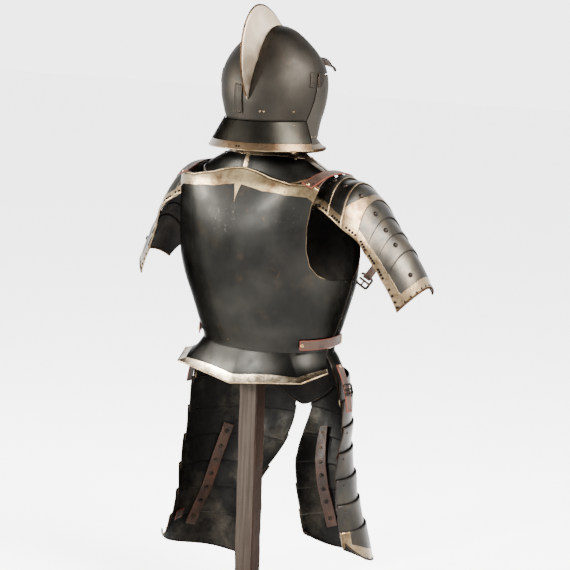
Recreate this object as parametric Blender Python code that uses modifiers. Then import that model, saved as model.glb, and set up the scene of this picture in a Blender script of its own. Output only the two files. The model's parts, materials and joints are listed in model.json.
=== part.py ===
"""A trooper's half armour of steel plate on a plain wooden stand.

Metres, +Z up. The wearer faces -Y, so +X is the wearer's left. The origin is the centre of the
stand's underside. Each plate is one wall of steel, laid on a form that a short table describes.
"""
import math

import bmesh
import bpy
from mathutils import Matrix, Vector

# ---- driving dimensions -------------------------------------------------------------------------
WALL = 0.0016              # steel of the lames, the gorget and the straps' fittings
BODY_WALL = 0.0020         # steel of the back, the breast and the skull
GAP = 0.0006               # air between pieces that lie on each other
LAME_STEP = 0.0040         # how far one edge of a lame lies inside its other edge
LEATHER = 0.0026
BASE_RADIUS, BASE_THICK = 0.175, 0.028
POST_WIDE, POST_DEEP, POST_TOP = 0.044, 0.032, 0.975
BAR_HALF, BAR_DEEP, BAR_THICK, BAR_LOW = 0.122, 0.012, 0.034, 0.815
HELMET_SEAT = (0.0, -0.045, 0.0)
HELMET_TURN = 8.0          # degrees that the face looks to the wearer's left

# torso form, from the waist up: half width, then how far the front and the back reach from y = 0
TORSO = (
    # z, half_width, front, back, side_y, roundness of the back (1 = round, less = squarer)
    (0.560, 0.137, 0.168, 0.050, -0.052, 0.92),
    (0.600, 0.147, 0.182, 0.066, -0.052, 0.92),
    (0.645, 0.161, 0.190, 0.079, -0.050, 0.92),
    (0.690, 0.176, 0.192, 0.088, -0.044, 0.91),
    (0.740, 0.184, 0.187, 0.094, -0.038, 0.89),
    (0.790, 0.186, 0.178, 0.092, -0.034, 0.86),
    (0.840, 0.184, 0.163, 0.082, -0.030, 0.78),
    (0.880, 0.177, 0.140, 0.069, -0.028, 0.66),
    (0.915, 0.164, 0.112, 0.053, -0.026, 0.60),
)
FRONT_ROUNDNESS = 0.92
# half outlines of the back and the breast: the angle that they reach at each height, 0 = centre
BACK_EDGE = (
    # z, angle
    (0.560, 88.0), (0.600, 95.0), (0.640, 97.0), (0.699, 97.0), (0.703, 86.0), (0.707, 71.0),
    (0.715, 61.0), (0.735, 53.5), (0.765, 50.0), (0.810, 49.0), (0.850, 51.0), (0.885, 60.0),
)
# the back plate's rows of faces crowd together at the foot of the armhole
BACK_ROWS = ((0.0, 0.0), (0.31, 0.40), (0.56, 0.48), (1.0, 1.0))           # share of rows, of height
BREAST_EDGE = (
    # z, angle
    (0.560, 91.0), (0.600, 84.2), (0.640, 82.2), (0.699, 82.2), (0.710, 79.0), (0.725, 70.0),
    (0.760, 56.0), (0.800, 48.0), (0.840, 45.0), (0.885, 44.0),
)
BACK_NECK = ((0.0, 0.908), (0.2, 0.895), (0.5, 0.886), (0.85, 0.887), (1.0, 0.880))     # across, z
BREAST_NECK = ((0.0, 0.842), (0.35, 0.848), (0.7, 0.866), (1.0, 0.884))    # across, z

# culet flange of the back plate: its lower edge, from the centre out
FLANGE_EDGE = (
    # x, y, z
    (0.000, 0.078, 0.497), (0.146, 0.051, 0.514), (0.169, -0.004, 0.528),
)
# fauld form: it flares from the waist and carries the tassets
SKIRT = (
    # z, half_width, front, side_y
    (0.556, 0.131, 0.162, -0.052),
    (0.535, 0.145, 0.174, -0.050),
    (0.500, 0.165, 0.182, -0.046),
    (0.452, 0.176, 0.184, -0.044),
    (0.402, 0.181, 0.180, -0.042),
)
SKIRT_SIDE = 90.0          # angle that the fauld reaches to, from the front
FAULD_LOW, FAULD_RISE = 0.407, 0.050     # its lowest point, between the tassets, and its rise beside it
# thigh form of a tasset: circles that follow the thigh down
THIGH = (
    # z, centre_x, centre_y, radius, inner, outer (angles from straight out, through the front)
    (0.505, 0.062, -0.040, 0.122, 118.0, -18.0),
    (0.455, 0.068, -0.042, 0.118, 120.0, -20.0),
    (0.405, 0.077, -0.044, 0.110, 124.0, -20.0),
    (0.356, 0.091, -0.046, 0.103, 132.0, -21.0),
    (0.306, 0.110, -0.054, 0.090, 146.0, -25.0),
    (0.257, 0.126, -0.058, 0.083, 157.0, -31.0),
    (0.207, 0.144, -0.059, 0.083, 163.0, -36.0),
    (0.143, 0.161, -0.061, 0.086, 166.0, -41.0),
)
TASSET_LAMES = 7
TASSET_LAP = 0.22          # share of a lame that the next one covers
TASSET_STEP = 0.0056       # how far a lame's lower edge lies inside its upper edge
TASSET_LIFT = 0.045        # how far the last lame's ends stand above its middle
TASSET_LEAN = 0.013        # how far its outer end is raised, and its inner end lowered
TASSET_NEAR, TASSET_FAR = 6.0, 91.0      # angles of a tasset's edges on the fauld
LEFT_DROP = 0.066          # the left tasset's leathers have stretched by this

# arm form of a pauldron: arcs across the arm, from the neck side down to the elbow
ARM = (
    # x, y, z of the arc's centre, tilt (degrees), out, fore_aft, rear, front (angles)
    (0.099, -0.045, 0.782, 67.5, 0.125, 0.094, -55.0, 40.0),
    (0.195, -0.048, 0.748, 99.5, 0.151, 0.104, -55.0, 55.0),
    (0.220, -0.052, 0.737, 98.5, 0.154, 0.099, -60.0, 60.0),
    (0.237, -0.060, 0.732, 93.5, 0.128, 0.086, -63.0, 64.0),
    (0.244, -0.066, 0.714, 86.5, 0.114, 0.080, -64.0, 65.0),
    (0.255, -0.071, 0.692, 81.5, 0.110, 0.076, -64.0, 66.0),
    (0.264, -0.076, 0.665, 73.5, 0.110, 0.073, -64.0, 60.0),
    (0.278, -0.084, 0.633, 49.5, 0.085, 0.069, -64.0, 44.0),
)
ELBOW_RISE = 0.10          # share of the last lame by which its outer edge is cut back
PAULDRON_LAMES = 7
PAULDRON_LAP = 0.26        # share of a lame that the one before it covers

# head form of the burgonet, in its own frame: the face looks to -y, heights are the armour's
HEAD = (
    # z, half_width, back, front
    (0.958, 0.081, 0.102, 0.092),
    (0.992, 0.087, 0.108, 0.100),
    (1.012, 0.093, 0.112, 0.104),
    (1.040, 0.100, 0.114, 0.101),
    (1.070, 0.102, 0.109, 0.095),
    (1.098, 0.097, 0.098, 0.080),
    (1.124, 0.082, 0.084, 0.056),
    (1.146, 0.061, 0.067, 0.037),
    (1.162, 0.040, 0.046, 0.026),
    (1.170, 0.021, 0.024, 0.013),
    (1.172, 0.006, 0.006, 0.004),
)
SKULL_ROW, BROW_ROW, CHEEK_ROW = 1.0, 4.5, 4.4     # rows of the skull's foot, the brow, the cheek's top
CUT_LOW, CUT_TOP = (0.036, 0.992), (0.022, 1.098)  # y, z of the skull's straight front edge
DOOR_GAP = 0.0030          # between the skull's edge and a cheekpiece
CHIN_ROW, FACE_SHARE = 2.7, 0.46         # the face opening's lowest row, and where it starts
NECK_FLARE = (0.122, 0.137, 0.945)       # half width, back and height of the neck guard's rim
CHEEK_FLARE = (0.016, 0.941)             # how far a cheekpiece's foot flares, and its height
COMB = (
    # angle from the nape up over the head, distance from COMB_HEART
    (-16.0, 0.1215), (0.0, 0.137), (15.0, 0.151), (29.0, 0.164), (42.0, 0.171), (54.0, 0.168),
    (65.0, 0.154), (78.0, 0.131), (94.0, 0.1075), (112.0, 0.0960), (126.0, 0.0860),
)
COMB_HEART = 1.070
COMB_SEAT = 0.0020         # how far the comb stands off the skull
COMB_HALF, COMB_EDGE = 0.0075, 0.0022    # half width at the skull and at the edge
HINGE_X, HINGE_Z = 0.1055, 1.078         # where a cheekpiece's hinge sits, in the helmet's frame

STEEL_BLACK = (0.030, 0.031, 0.032)
STEEL_WHITE = (0.50, 0.46, 0.41)
LEATHER_BROWN = (0.16, 0.055, 0.028)
WOOD = (0.20, 0.145, 0.115)


# ---- helpers ------------------------------------------------------------------------------------
for old in list(bpy.data.objects):
    bpy.data.objects.remove(old)
armour = bpy.data.collections.new("half_armour")
cutters = bpy.data.collections.new("cutters")
for group in (armour, cutters):
    bpy.context.scene.collection.children.link(group)


def finish(colour, rough, metal, name):
    """A plain Principled material of its own for one piece."""
    material = bpy.data.materials.new(name)
    material.use_nodes = True
    shader = material.node_tree.nodes["Principled BSDF"]
    shader.inputs["Base Color"].default_value = (*colour, 1.0)
    shader.inputs["Roughness"].default_value = rough
    shader.inputs["Metallic"].default_value = metal
    return material


def keep(name, mesh, colour, rough=0.4, metal=1.0):
    """Put a mesh in the armour's collection under its node name."""
    piece = bpy.data.objects.new(name, mesh)
    armour.objects.link(piece)
    mesh.materials.clear()
    mesh.materials.append(finish(colour, rough, metal, name))
    mesh.shade_smooth()
    mesh.set_sharp_from_angle(angle=math.radians(35))
    return piece


def table(rows, at, column, key=0):
    """Read one column of a table at a place, with straight lines between its rows."""
    down = rows[0][key] > rows[-1][key]
    rows = rows[::-1] if down else rows
    if at <= rows[0][key]:
        return rows[0][column]
    for low, high in zip(rows, rows[1:]):
        if at <= high[key]:
            share = (at - low[key]) / (high[key] - low[key])
            return low[column] + (high[column] - low[column]) * share
    return rows[-1][column]


def smooth(rows, at, column):
    """Read a column with a curve through the rows, where `at` counts rows."""
    last = len(rows) - 1
    index = min(int(at), last - 1)
    share = at - index
    before = rows[max(index - 1, 0)][column]
    low, high = rows[index][column], rows[index + 1][column]
    after = rows[min(index + 2, last)][column]
    a = 2 * low
    b = high - before
    c = 2 * before - 5 * low + 4 * high - after
    d = 3 * low - before - 3 * high + after
    return 0.5 * (a + b * share + c * share ** 2 + d * share ** 3)


def row_of(rows, at):
    """Count rows of a table down to a height."""
    return table([(row[0], index) for index, row in enumerate(rows)], at, 1)


def plate(name, surface, across, along, wall, colour, metal=1.0, rough=0.4):
    """A wall of steel or leather on surface(s, t); its outer face is the surface itself."""
    mesh = bpy.data.meshes.new(name)
    shape = bmesh.new()
    bmesh.ops.create_grid(shape, x_segments=across, y_segments=along, size=0.5)
    for vertex in shape.verts:
        vertex.co = surface(vertex.co.x + 0.5, vertex.co.y + 0.5)
    shape.normal_update()
    shape.to_mesh(mesh)
    shape.free()
    piece = keep(name, mesh, colour, rough, metal)
    solid = piece.modifiers.new("wall", "SOLIDIFY")
    solid.thickness = wall
    solid.offset = -1.0
    solid.use_even_offset = True
    solid.use_quality_normals = True
    return piece


def flip(surface):
    """The same surface walked the other way, so that its faces look out."""
    return lambda s, t: surface(1.0 - s, t)


def mirrored(surface):
    """The surface of the twin on the other side of the body."""
    def twin(s, t):
        point = surface(1.0 - s, t)
        return Vector((-point.x, point.y, point.z))
    return twin


def both_sides(name, surface, *rest, **more):
    """Make the left and the right twin; `surface` is the left one."""
    plate(name + "_left", surface, *rest, **more)
    plate(name + "_right", mirrored(surface), *rest, **more)


def box(name, size, place, colour, metal=0.0, rough=0.6, turn=0.0, bevel=0.002):
    """A block with softened edges."""
    bpy.ops.mesh.primitive_cube_add(size=1.0)
    block = bpy.context.object
    mesh = block.data
    mesh.transform(Matrix.Diagonal((*size, 1.0)))
    bpy.data.objects.remove(block)
    piece = keep(name, mesh, colour, rough, metal)
    piece.location = place
    piece.rotation_euler.z = turn
    edge = piece.modifiers.new("soft edge", "BEVEL")
    edge.width = bevel
    edge.segments = 1
    return piece


# ---- torso --------------------------------------------------------------------------------------
def signed_power(value, power):
    return math.copysign(abs(value) ** power, value)


def torso(angle, z, out=0.0):
    """A point of the torso form; 0 degrees is the centre of the back, 180 that of the breast."""
    turn = math.radians(angle)
    row = row_of(TORSO, z)
    half, front, back, side_y, roundness = (smooth(TORSO, row, column) for column in range(1, 6))
    half += out
    if math.cos(turn) > 0:
        reach = back - side_y + out
    else:
        roundness = FRONT_ROUNDNESS
        keel = 0.005 * math.exp(-((math.sin(turn) / 0.15) ** 2))
        reach = front + side_y + out + keel
    return Vector((half * signed_power(math.sin(turn), roundness),
                   side_y + reach * signed_power(math.cos(turn), roundness), z))


FLANGE_SHARE = 0.2         # share of the back plate's rows that its flange takes


def corner_line(rows, at):
    """A point of a line that runs straight from row to row."""
    index = min(int(at), len(rows) - 2)
    return Vector(rows[index]).lerp(Vector(rows[index + 1]), at - index)


def back_plate(s, t):
    """Back plate, from the culet flange's edge up to the neck."""
    side = 2 * s - 1
    if t >= FLANGE_SHARE:
        share = table(BACK_ROWS, (t - FLANGE_SHARE) / (1 - FLANGE_SHARE), 1)
        top = table(BACK_NECK, abs(side), 1)
        z = TORSO[0][0] + (top - TORSO[0][0]) * share
        return torso(side * table(BACK_EDGE, z, 1), z)
    waist = torso(side * BACK_EDGE[0][1], TORSO[0][0])
    reach = abs(side) * (len(FLANGE_EDGE) - 1)
    low = corner_line(FLANGE_EDGE, reach)
    low.x = math.copysign(low.x, side)
    share = 1 - t / FLANGE_SHARE
    point = waist.lerp(low, share)
    point.z -= 0.008 * math.sin(math.pi * share)
    return point


def breast_plate(s, t):
    """Breast plate with its keel, from the waist up to the neck."""
    side = 2 * s - 1
    top = table(BREAST_NECK, abs(side), 1)
    foot = TORSO[0][0] + 0.002
    z = foot + (top - foot) * t
    return torso(180 + side * table(BREAST_EDGE, z, 1), z)


def skirt(angle, z, out=0.0):
    """A point of the fauld form; 0 degrees is the front, positive to the wearer's left."""
    turn = math.radians(angle)
    row = row_of(SKIRT, z)
    half, front, side_y = (smooth(SKIRT, row, column) for column in (1, 2, 3))
    return Vector(((half + out) * math.sin(turn), side_y - (front + side_y + out) * math.cos(turn), z))


def fauld(s, t):
    """Fauld plate: it hangs from the breast's waist, longest between the tassets."""
    side = 2 * s - 1
    foot = FAULD_LOW + FAULD_RISE * min(1.0, abs(side) / 0.30) ** 1.4
    z = SKIRT[0][0] + (foot - SKIRT[0][0]) * (1 - t)
    return skirt(SKIRT_SIDE * side, z)


def make_torso():
    plate("back_plate", flip(back_plate), 20, 20, BODY_WALL, STEEL_BLACK)
    plate("breast_plate", flip(breast_plate), 20, 13, BODY_WALL, STEEL_BLACK)
    plate("fauld", fauld, 22, 4, WALL, STEEL_BLACK)


# ---- gorget -------------------------------------------------------------------------------------
GORGET_BACK = (
    # z at the centre, z at the side, half_width, reach
    (0.862, 0.900, 0.141, 0.058),
    (0.890, 0.910, 0.126, 0.050),
    (0.918, 0.922, 0.103, 0.042),
    (0.933, 0.934, 0.080, 0.035),
    (0.947, 0.947, 0.072, 0.032),
)
GORGET_FRONT = (
    # z at the centre, z at the side, half_width, reach
    (0.800, 0.900, 0.141, 0.128),
    (0.845, 0.910, 0.126, 0.118),
    (0.890, 0.922, 0.103, 0.104),
    (0.920, 0.934, 0.080, 0.090),
    (0.947, 0.947, 0.072, 0.084),
)
GORGET_Y = -0.030          # the two plates meet in this plane


def gorget(rows, way):
    """One gorget plate; `way` is 1 for the back and -1 for the front."""
    def surface(s, t):
        turn = math.radians((2 * s - 1) * 88.6)
        centre_z, side_z, half, reach = (smooth(rows, t * (len(rows) - 1), column) for column in range(4))
        z = centre_z + (side_z - centre_z) * abs(math.sin(turn)) ** 1.6
        ridge = 0.003 * math.exp(-((math.sin(turn) / 0.10) ** 2))
        depth = reach - way * GORGET_Y + ridge
        return Vector((half * math.sin(turn), GORGET_Y + way * depth * math.cos(turn), z))
    return surface


def make_gorget():
    plate("gorget_back", flip(gorget(GORGET_BACK, 1)), 14, 6, WALL, STEEL_BLACK)
    plate("gorget_front", gorget(GORGET_FRONT, -1), 14, 6, WALL, STEEL_BLACK)


# ---- pauldrons ----------------------------------------------------------------------------------
def arm_form(s, row, out=0.0):
    """A point on the left arm; s runs from the rear edge to the front edge."""
    last = max(0.0, row - (PAULDRON_LAMES - 1))
    row -= ELBOW_RISE * last * min(1.0, s / 0.55) ** 1.3
    x, y, z, tilt, wide, deep, rear, front = (smooth(ARM, row, column) for column in range(8))
    turn = math.radians(rear + (front - rear) * s)
    lift = math.radians(tilt)
    outward = Vector((math.cos(lift), 0.0, math.sin(lift)))
    forward = Vector((0.0, -1.0, 0.0))
    across = outward * (wide + out) * math.cos(turn) + forward * (deep + out) * math.sin(turn)
    return Vector((x, y, z)) + across


def pauldron_lame(index):
    """One lame of the left pauldron: its upper edge lies under the lame before it."""
    lap = PAULDRON_LAP if index else 0.0
    return lambda s, t: arm_form(s, index - lap + (1 + lap) * (1 - t), -LAME_STEP * t)



def make_pauldrons():
    for index in range(PAULDRON_LAMES):
        name = "pauldron_lame_%d" % (index + 1)
        left = flip(pauldron_lame(index))
        plate(name + "_left", left, 12, 3, WALL, STEEL_BLACK)
        plate(name + "_right", mirrored(left), 12, 3, WALL, STEEL_BLACK)


# ---- tassets ------------------------------------------------------------------------------------
def thigh_form(s, row, out=0.0, drop=0.0):
    """A point round the left thigh; s runs from the inner edge to the outer edge."""
    z, x, y, radius, inner, outer = (smooth(THIGH, row, column) for column in range(6))
    turn = math.radians(inner + (outer - inner) * s)
    last = max(0.0, row - (TASSET_LAMES - 1))
    round_thigh = Vector((x + (radius + out) * math.cos(turn), y - (radius + out) * math.sin(turn), z))
    on_skirt = skirt(TASSET_NEAR + (TASSET_FAR - TASSET_NEAR) * s, z, WALL + TASSET_STEP + 2 * GAP + out)
    share = min(1.0, max(0.0, (row - 1.8) / 2.4))
    point = on_skirt.lerp(round_thigh, share * share * (3 - 2 * share))
    side = 2 * s - 1
    point.z += last * (TASSET_LIFT * last * abs(side) ** 3 + TASSET_LEAN * side) - drop * row / TASSET_LAMES
    return point


def tasset_lame(index, drop):
    """One lame of the left tasset: its upper edge lies over the lame before it."""
    lap = TASSET_LAP if index else 0.0
    return lambda s, t: thigh_form(s, index - lap + (1 + lap) * (1 - t), -TASSET_STEP * (1 - t), drop)


def make_tassets():
    for index in range(TASSET_LAMES):
        name = "tasset_lame_%d" % (index + 1)
        plate(name + "_left", tasset_lame(index, LEFT_DROP), 12, 3, WALL, STEEL_BLACK)
        plate(name + "_right", mirrored(tasset_lame(index, 0.0)), 12, 3, WALL, STEEL_BLACK)


# ---- burgonet -----------------------------------------------------------------------------------
HEAD_PLACE = (Matrix.Translation(HELMET_SEAT)
              @ Matrix.Rotation(math.radians(HELMET_TURN), 4, "Z"))


def head_point(angle, row, out=0.0):
    """A point of the head form, in the helmet's frame; 0 degrees is the nape."""
    z, half, back, front = (smooth(HEAD, row, column) for column in range(4))
    turn = math.radians(angle)
    reach = back if math.cos(turn) > 0 else front
    return Vector(((half + out) * math.sin(turn), (reach + out) * math.cos(turn), z))


def cut_angle(row, ahead=0.0):
    """Angle at which this row meets the skull's straight front edge, or a line ahead of it."""
    z, back, front = (smooth(HEAD, row, column) for column in (0, 2, 3))
    share = (z - CUT_LOW[1]) / (CUT_TOP[1] - CUT_LOW[1])
    y = CUT_LOW[0] + (CUT_TOP[0] - CUT_LOW[0]) * share - ahead
    return math.degrees(math.acos(y / (back if y > 0 else front)))


SKULL_COLUMNS = ((0.0, 0.0), (7 / 18, 70.0), (10 / 18, 80.0), (1.0, 178.0))    # share, angle


def skull_foot(angle):
    """Row at which the skull ends: its foot, then its straight front edge, then the brow."""
    cut = [(cut_angle(SKULL_ROW + step / 4), SKULL_ROW + step / 4)
           for step in range(round(4 * (BROW_ROW - SKULL_ROW)) + 1)]
    if angle <= cut[-1][0]:
        return table(cut, angle, 1)
    return BROW_ROW + 0.95 * ((angle - cut[-1][0]) / (180.0 - cut[-1][0])) ** 2


def skull(s, t):
    """Skull: its columns run from the foot, the front edge or the brow up to the crown."""
    side = 2 * s - 1
    angle = table(SKULL_COLUMNS, abs(side), 1)
    foot = skull_foot(angle)
    row = foot + (len(HEAD) - 1 - foot) * t
    return HEAD_PLACE @ head_point(math.copysign(angle, side), row)


def neck_guard(s, t):
    """Neck guard: it flares from the skull's foot over the nape."""
    side = 2 * s - 1
    angle = side * (66.0 + 4.0 * t)
    turn = math.radians(angle)
    half, back, z = NECK_FLARE
    rim = Vector((half * math.sin(turn), back * math.cos(turn), z))
    root = head_point(angle, SKULL_ROW + 0.25, WALL + GAP + 0.0012)
    return HEAD_PLACE @ rim.lerp(root, t ** 1.15)


def cheek(s, t):
    """Left cheekpiece: s runs from the hinge edge to the face, t from the flared foot up."""
    foot_share = 0.14
    face = min(1.0, max(0.0, (s - FACE_SHARE) / 0.12))
    top = CHEEK_ROW + (CHIN_ROW - CHEEK_ROW) * face
    row = max(0.0, (t - foot_share) / (1 - foot_share)) * top
    near = cut_angle(max(row, 0.05), DOOR_GAP)
    angle = near + (178.8 - near) * s
    point = head_point(angle, row)
    if t < foot_share:
        out, z = CHEEK_FLARE
        rim = head_point(angle, row, out)
        rim.z = z
        point = point.lerp(rim, 1 - t / foot_share)
    return point


def skull_radius(angle):
    """Distance from the comb's heart to the skull's middle line, at an angle from the nape up."""
    rows = []
    for step in range(4 * (len(HEAD) - 1) + 1):
        z, back, front = (smooth(HEAD, step / 4, column) for column in (0, 2, 3))
        for y in (back, -front):
            rows.append((math.degrees(math.atan2(z - COMB_HEART, y)), math.hypot(y, z - COMB_HEART)))
    return table(sorted(rows), angle, 1)


def comb(s, t):
    """Comb: a folded wall that stands on the skull; t runs over its edge from side to side."""
    place = s * (len(COMB) - 1)
    angle = smooth(COMB, place, 0)
    side = 2 * t - 1
    low = skull_radius(angle) + COMB_SEAT
    high = max(low + 0.004, smooth(COMB, place, 1))
    reach = high + (low - high) * abs(side)
    taper = min(1.0, 0.45 + 2.2 * s)
    half = COMB_EDGE * min(1.0, abs(side) / 0.06) + (COMB_HALF * taper - COMB_EDGE) * abs(side) ** 1.6
    turn = math.radians(angle)
    return HEAD_PLACE @ Vector((math.copysign(half, side), reach * math.cos(turn),
                                COMB_HEART + reach * math.sin(turn)))


def peak(s, t):
    """Peak over the brow: it reaches forward and turns down a little."""
    side = 2 * s - 1
    turn = math.radians(180 + side * 66.0)
    root = head_point(180 + side * 66.0, 5.6, GAP + 0.0030)
    rim = Vector((0.098 * math.sin(turn), -0.030 + 0.105 * math.cos(turn), 1.099 - 0.010 * abs(side) ** 2))
    point = rim.lerp(root, t)
    point.z += 0.007 * math.sin(math.pi * t)
    return HEAD_PLACE @ point


def plume_holder(s, t):
    """Plume holder: a narrow pocket on the skull beside the comb."""
    row = 1.95 + 1.85 * t
    return HEAD_PLACE @ head_point(6.8 + 10.5 * s, row, 0.0048 - 0.0026 * abs(2 * s - 1))


HINGE_WAY = Vector((0.0, CUT_TOP[0] - CUT_LOW[0], CUT_TOP[1] - CUT_LOW[1])).normalized()
HINGE_Y = CUT_LOW[0] + (HINGE_Z - CUT_LOW[1]) * HINGE_WAY.y / HINGE_WAY.z - DOOR_GAP / 2


def hinge_leaf(back_end, front_end):
    """A leaf of the left hinge, on the steel beside the skull's edge."""
    def surface(s, t):
        row = 3.70 + 0.95 * t
        near = cut_angle(row, back_end + (front_end - back_end) * s * (1 - 0.45 * abs(2 * t - 1)))
        return head_point(near, row, 0.0016)
    return surface


def seated(surface):
    """A surface of the helmet, put in its place on the armour."""
    return lambda s, t: HEAD_PLACE @ surface(s, t)


def on_axis(name, side):
    """An empty on a cheekpiece's hinge axis, in world coordinates."""
    axis = bpy.data.objects.new(name, None)
    cutters.objects.link(axis)
    axis.location = HEAD_PLACE @ Vector((side * HINGE_X, HINGE_Y, HINGE_Z))
    return axis


def make_burgonet():
    plate("helmet_skull", flip(skull), 36, 9, BODY_WALL, STEEL_BLACK)
    plate("helmet_comb", comb, 20, 6, 0.0012, STEEL_WHITE)
    plate("neck_guard", flip(neck_guard), 18, 3, WALL, STEEL_BLACK)
    plate("helmet_peak", flip(peak), 16, 3, WALL, STEEL_BLACK)
    plate("plume_holder", flip(plume_holder), 4, 3, 0.0012, STEEL_BLACK)
    for side, word in ((1, "left"), (-1, "right")):
        axis = on_axis("hinge_axis_" + word, side)
        turned = (lambda surface: surface) if side > 0 else mirrored
        hung = (
            ("cheek_" + word, cheek, 10, 8, BODY_WALL),
            ("hinge_leaf_" + word, hinge_leaf(0.0042, 0.024), 2, 4, 0.0011),
        )
        for name, surface, across, along, wall in hung:
            piece = plate(name, flip(seated(turned(surface))), across, along, wall, STEEL_BLACK)
            shift = Matrix.Translation(-axis.location)
            piece.data.transform(shift)
            piece.parent = axis
        fixed = seated(turned(hinge_leaf(-0.018, -0.002)))
        plate("hinge_plate_" + word, flip(fixed), 2, 4, 0.0011, STEEL_BLACK)


# ---- straps -------------------------------------------------------------------------------------
def ribbon(stations, width):
    """A strap through stations of (point, normal); s runs across it and t along it."""
    points = [tuple(point) for point, normal in stations]
    normals = [tuple(normal) for point, normal in stations]
    def surface(s, t):
        place = t * (len(points) - 1)
        step = 0.05
        here = Vector([smooth(points, place, column) for column in range(3)])
        before = Vector([smooth(points, max(place - step, 0), column) for column in range(3)])
        after = Vector([smooth(points, min(place + step, len(points) - 1), column) for column in range(3)])
        normal = Vector([smooth(normals, place, column) for column in range(3)])
        across = (after - before).cross(normal).normalized()
        return here + across * width * (s - 0.5)
    return surface


def radial(point, centre=(0.0, -0.040)):
    """The level normal of the torso at a point."""
    return Vector((point.x - centre[0], point.y - centre[1], 0.0)).normalized()


def shoulder_strap():
    stations = [
        (Vector((0.143, 0.053, 0.8870)), Vector((0.25, 0.80, 0.75))),
        (Vector((0.146, 0.036, 0.8930)), Vector((0.20, 0.55, 0.95))),
        (Vector((0.148, 0.006, 0.9025)), Vector((0.15, 0.25, 1.0))),
        (Vector((0.149, -0.030, 0.9065)), Vector((0.15, 0.0, 1.0))),
        (Vector((0.147, -0.064, 0.9040)), Vector((0.15, -0.2, 1.0))),
        (Vector((0.143, -0.094, 0.8950)), Vector((0.25, -0.6, 0.9))),
    ]
    for angle, z in ((140.0, 0.878), (142.0, 0.856)):
        point = torso(angle, z, 0.0095)
        stations.append((point, radial(point) + Vector((0, 0, 0.2))))
    return ribbon(stations, 0.024)


def waist_strap():
    stations = []
    for step in range(7):
        point = torso(53.0 + 9.5 * step, 0.5765, LEATHER + 0.0040)
        stations.append((point, radial(point)))
    return ribbon(stations, 0.019)


def hip_strap():
    stations = []
    for z in (0.535, 0.515, 0.490, 0.465, 0.447):
        point = skirt(88.0, z, WALL + TASSET_STEP * 2 + GAP * 4 + LEATHER)
        stations.append((point, Vector((1.0, 0.02, 0.0))))
    return ribbon(stations, 0.018)


def inner_leather(drop, top, foot):
    """The leather that carries the lames, riveted inside the tasset."""
    stations = []
    for step in range(7):
        row = 2.6 + 0.62 * step
        at = top + (foot - top) * step / 6
        inside = -(WALL + TASSET_STEP + GAP * 5)
        point = thigh_form(at, row, inside, drop)
        outer = thigh_form(at, row, inside + 0.01, drop)
        stations.append((point, (outer - point).normalized()))
    return ribbon(stations, 0.022)


def arm_strap():
    """The loose strap inside the right pauldron, written for the left side."""
    stations = []
    for row, s in ((4.0, 0.14), (4.35, 0.07), (4.75, 0.02)):
        point = arm_form(s, row, -(WALL + LAME_STEP + GAP * 12))
        stations.append((point, (arm_form(s, row) - point).normalized()))
    low = stations[-1][0] + Vector((-0.012, 0.012, -0.026))
    stations.append((low, Vector((0.5, 0.8, 0.2))))
    return ribbon(stations, 0.015)


def make_straps():
    both_sides("shoulder_strap", shoulder_strap(), 2, 16, LEATHER, LEATHER_BROWN, 0.0, 0.6)
    both_sides("waist_strap", waist_strap(), 1, 12, LEATHER, LEATHER_BROWN, 0.0, 0.6)
    both_sides("hip_strap", hip_strap(), 1, 6, LEATHER, LEATHER_BROWN, 0.0, 0.6)
    plate("inner_leather_left", inner_leather(LEFT_DROP, 0.54, 0.68), 1, 12, LEATHER, LEATHER_BROWN, 0.0, 0.6)
    plate("inner_leather_right", mirrored(inner_leather(0.0, 0.19, 0.24)), 1, 12, LEATHER,
          LEATHER_BROWN, 0.0, 0.6)
    plate("arm_strap", mirrored(arm_strap()), 1, 6, 0.0020, LEATHER_BROWN, 0.0, 0.6)


# ---- stand --------------------------------------------------------------------------------------
def make_stand():
    """Base, post, shoulder bar and head block, all clear of the steel."""
    def drum(name, radius, depth, middle, bevel):
        bpy.ops.mesh.primitive_cylinder_add(vertices=40, radius=radius, depth=depth)
        disc = bpy.context.object
        mesh = disc.data
        bpy.data.objects.remove(disc)
        piece = keep(name, mesh, WOOD, 0.6, 0.0)
        piece.location = middle
        edge = piece.modifiers.new("soft edge", "BEVEL")
        edge.width = bevel
        edge.segments = 2
        edge.limit_method = "ANGLE"
    seam = 0.0004
    drum("stand_base", BASE_RADIUS, BASE_THICK, (0, 0, BASE_THICK / 2), 0.004)
    high = POST_TOP - BASE_THICK - seam
    box("stand_post", (POST_WIDE, POST_DEEP, high), (0, 0, BASE_THICK + seam + high / 2), WOOD)
    bar_y = POST_DEEP / 2 + seam + BAR_DEEP / 2
    box("stand_shoulder_bar", (2 * BAR_HALF, BAR_DEEP, BAR_THICK), (0, bar_y, BAR_LOW), WOOD)
    block = 0.118
    drum("stand_head_block", 0.048, block, (0, -0.022, POST_TOP + seam + block / 2), 0.030)


make_torso()
make_gorget()
make_pauldrons()
make_tassets()
make_burgonet()
make_straps()
make_stand()
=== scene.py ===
# %% [markdown]
# # A trooper's half armour on its stand
#
# The real object is a suit of thin steel plates, each beaten to fit the one beside it, with the
# inside left rough and the outside painted black up to polished borders. It hangs on a wooden
# post. This notebook dresses a ready-made frame: the frame gives every piece its place, and the
# cells below give each one its finished shape and surface.

import json
from math import acos, atan2, copysign, cos, degrees, exp, hypot, pi, radians, sin

import bmesh
import bpy
from mathutils import Matrix, Vector

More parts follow.
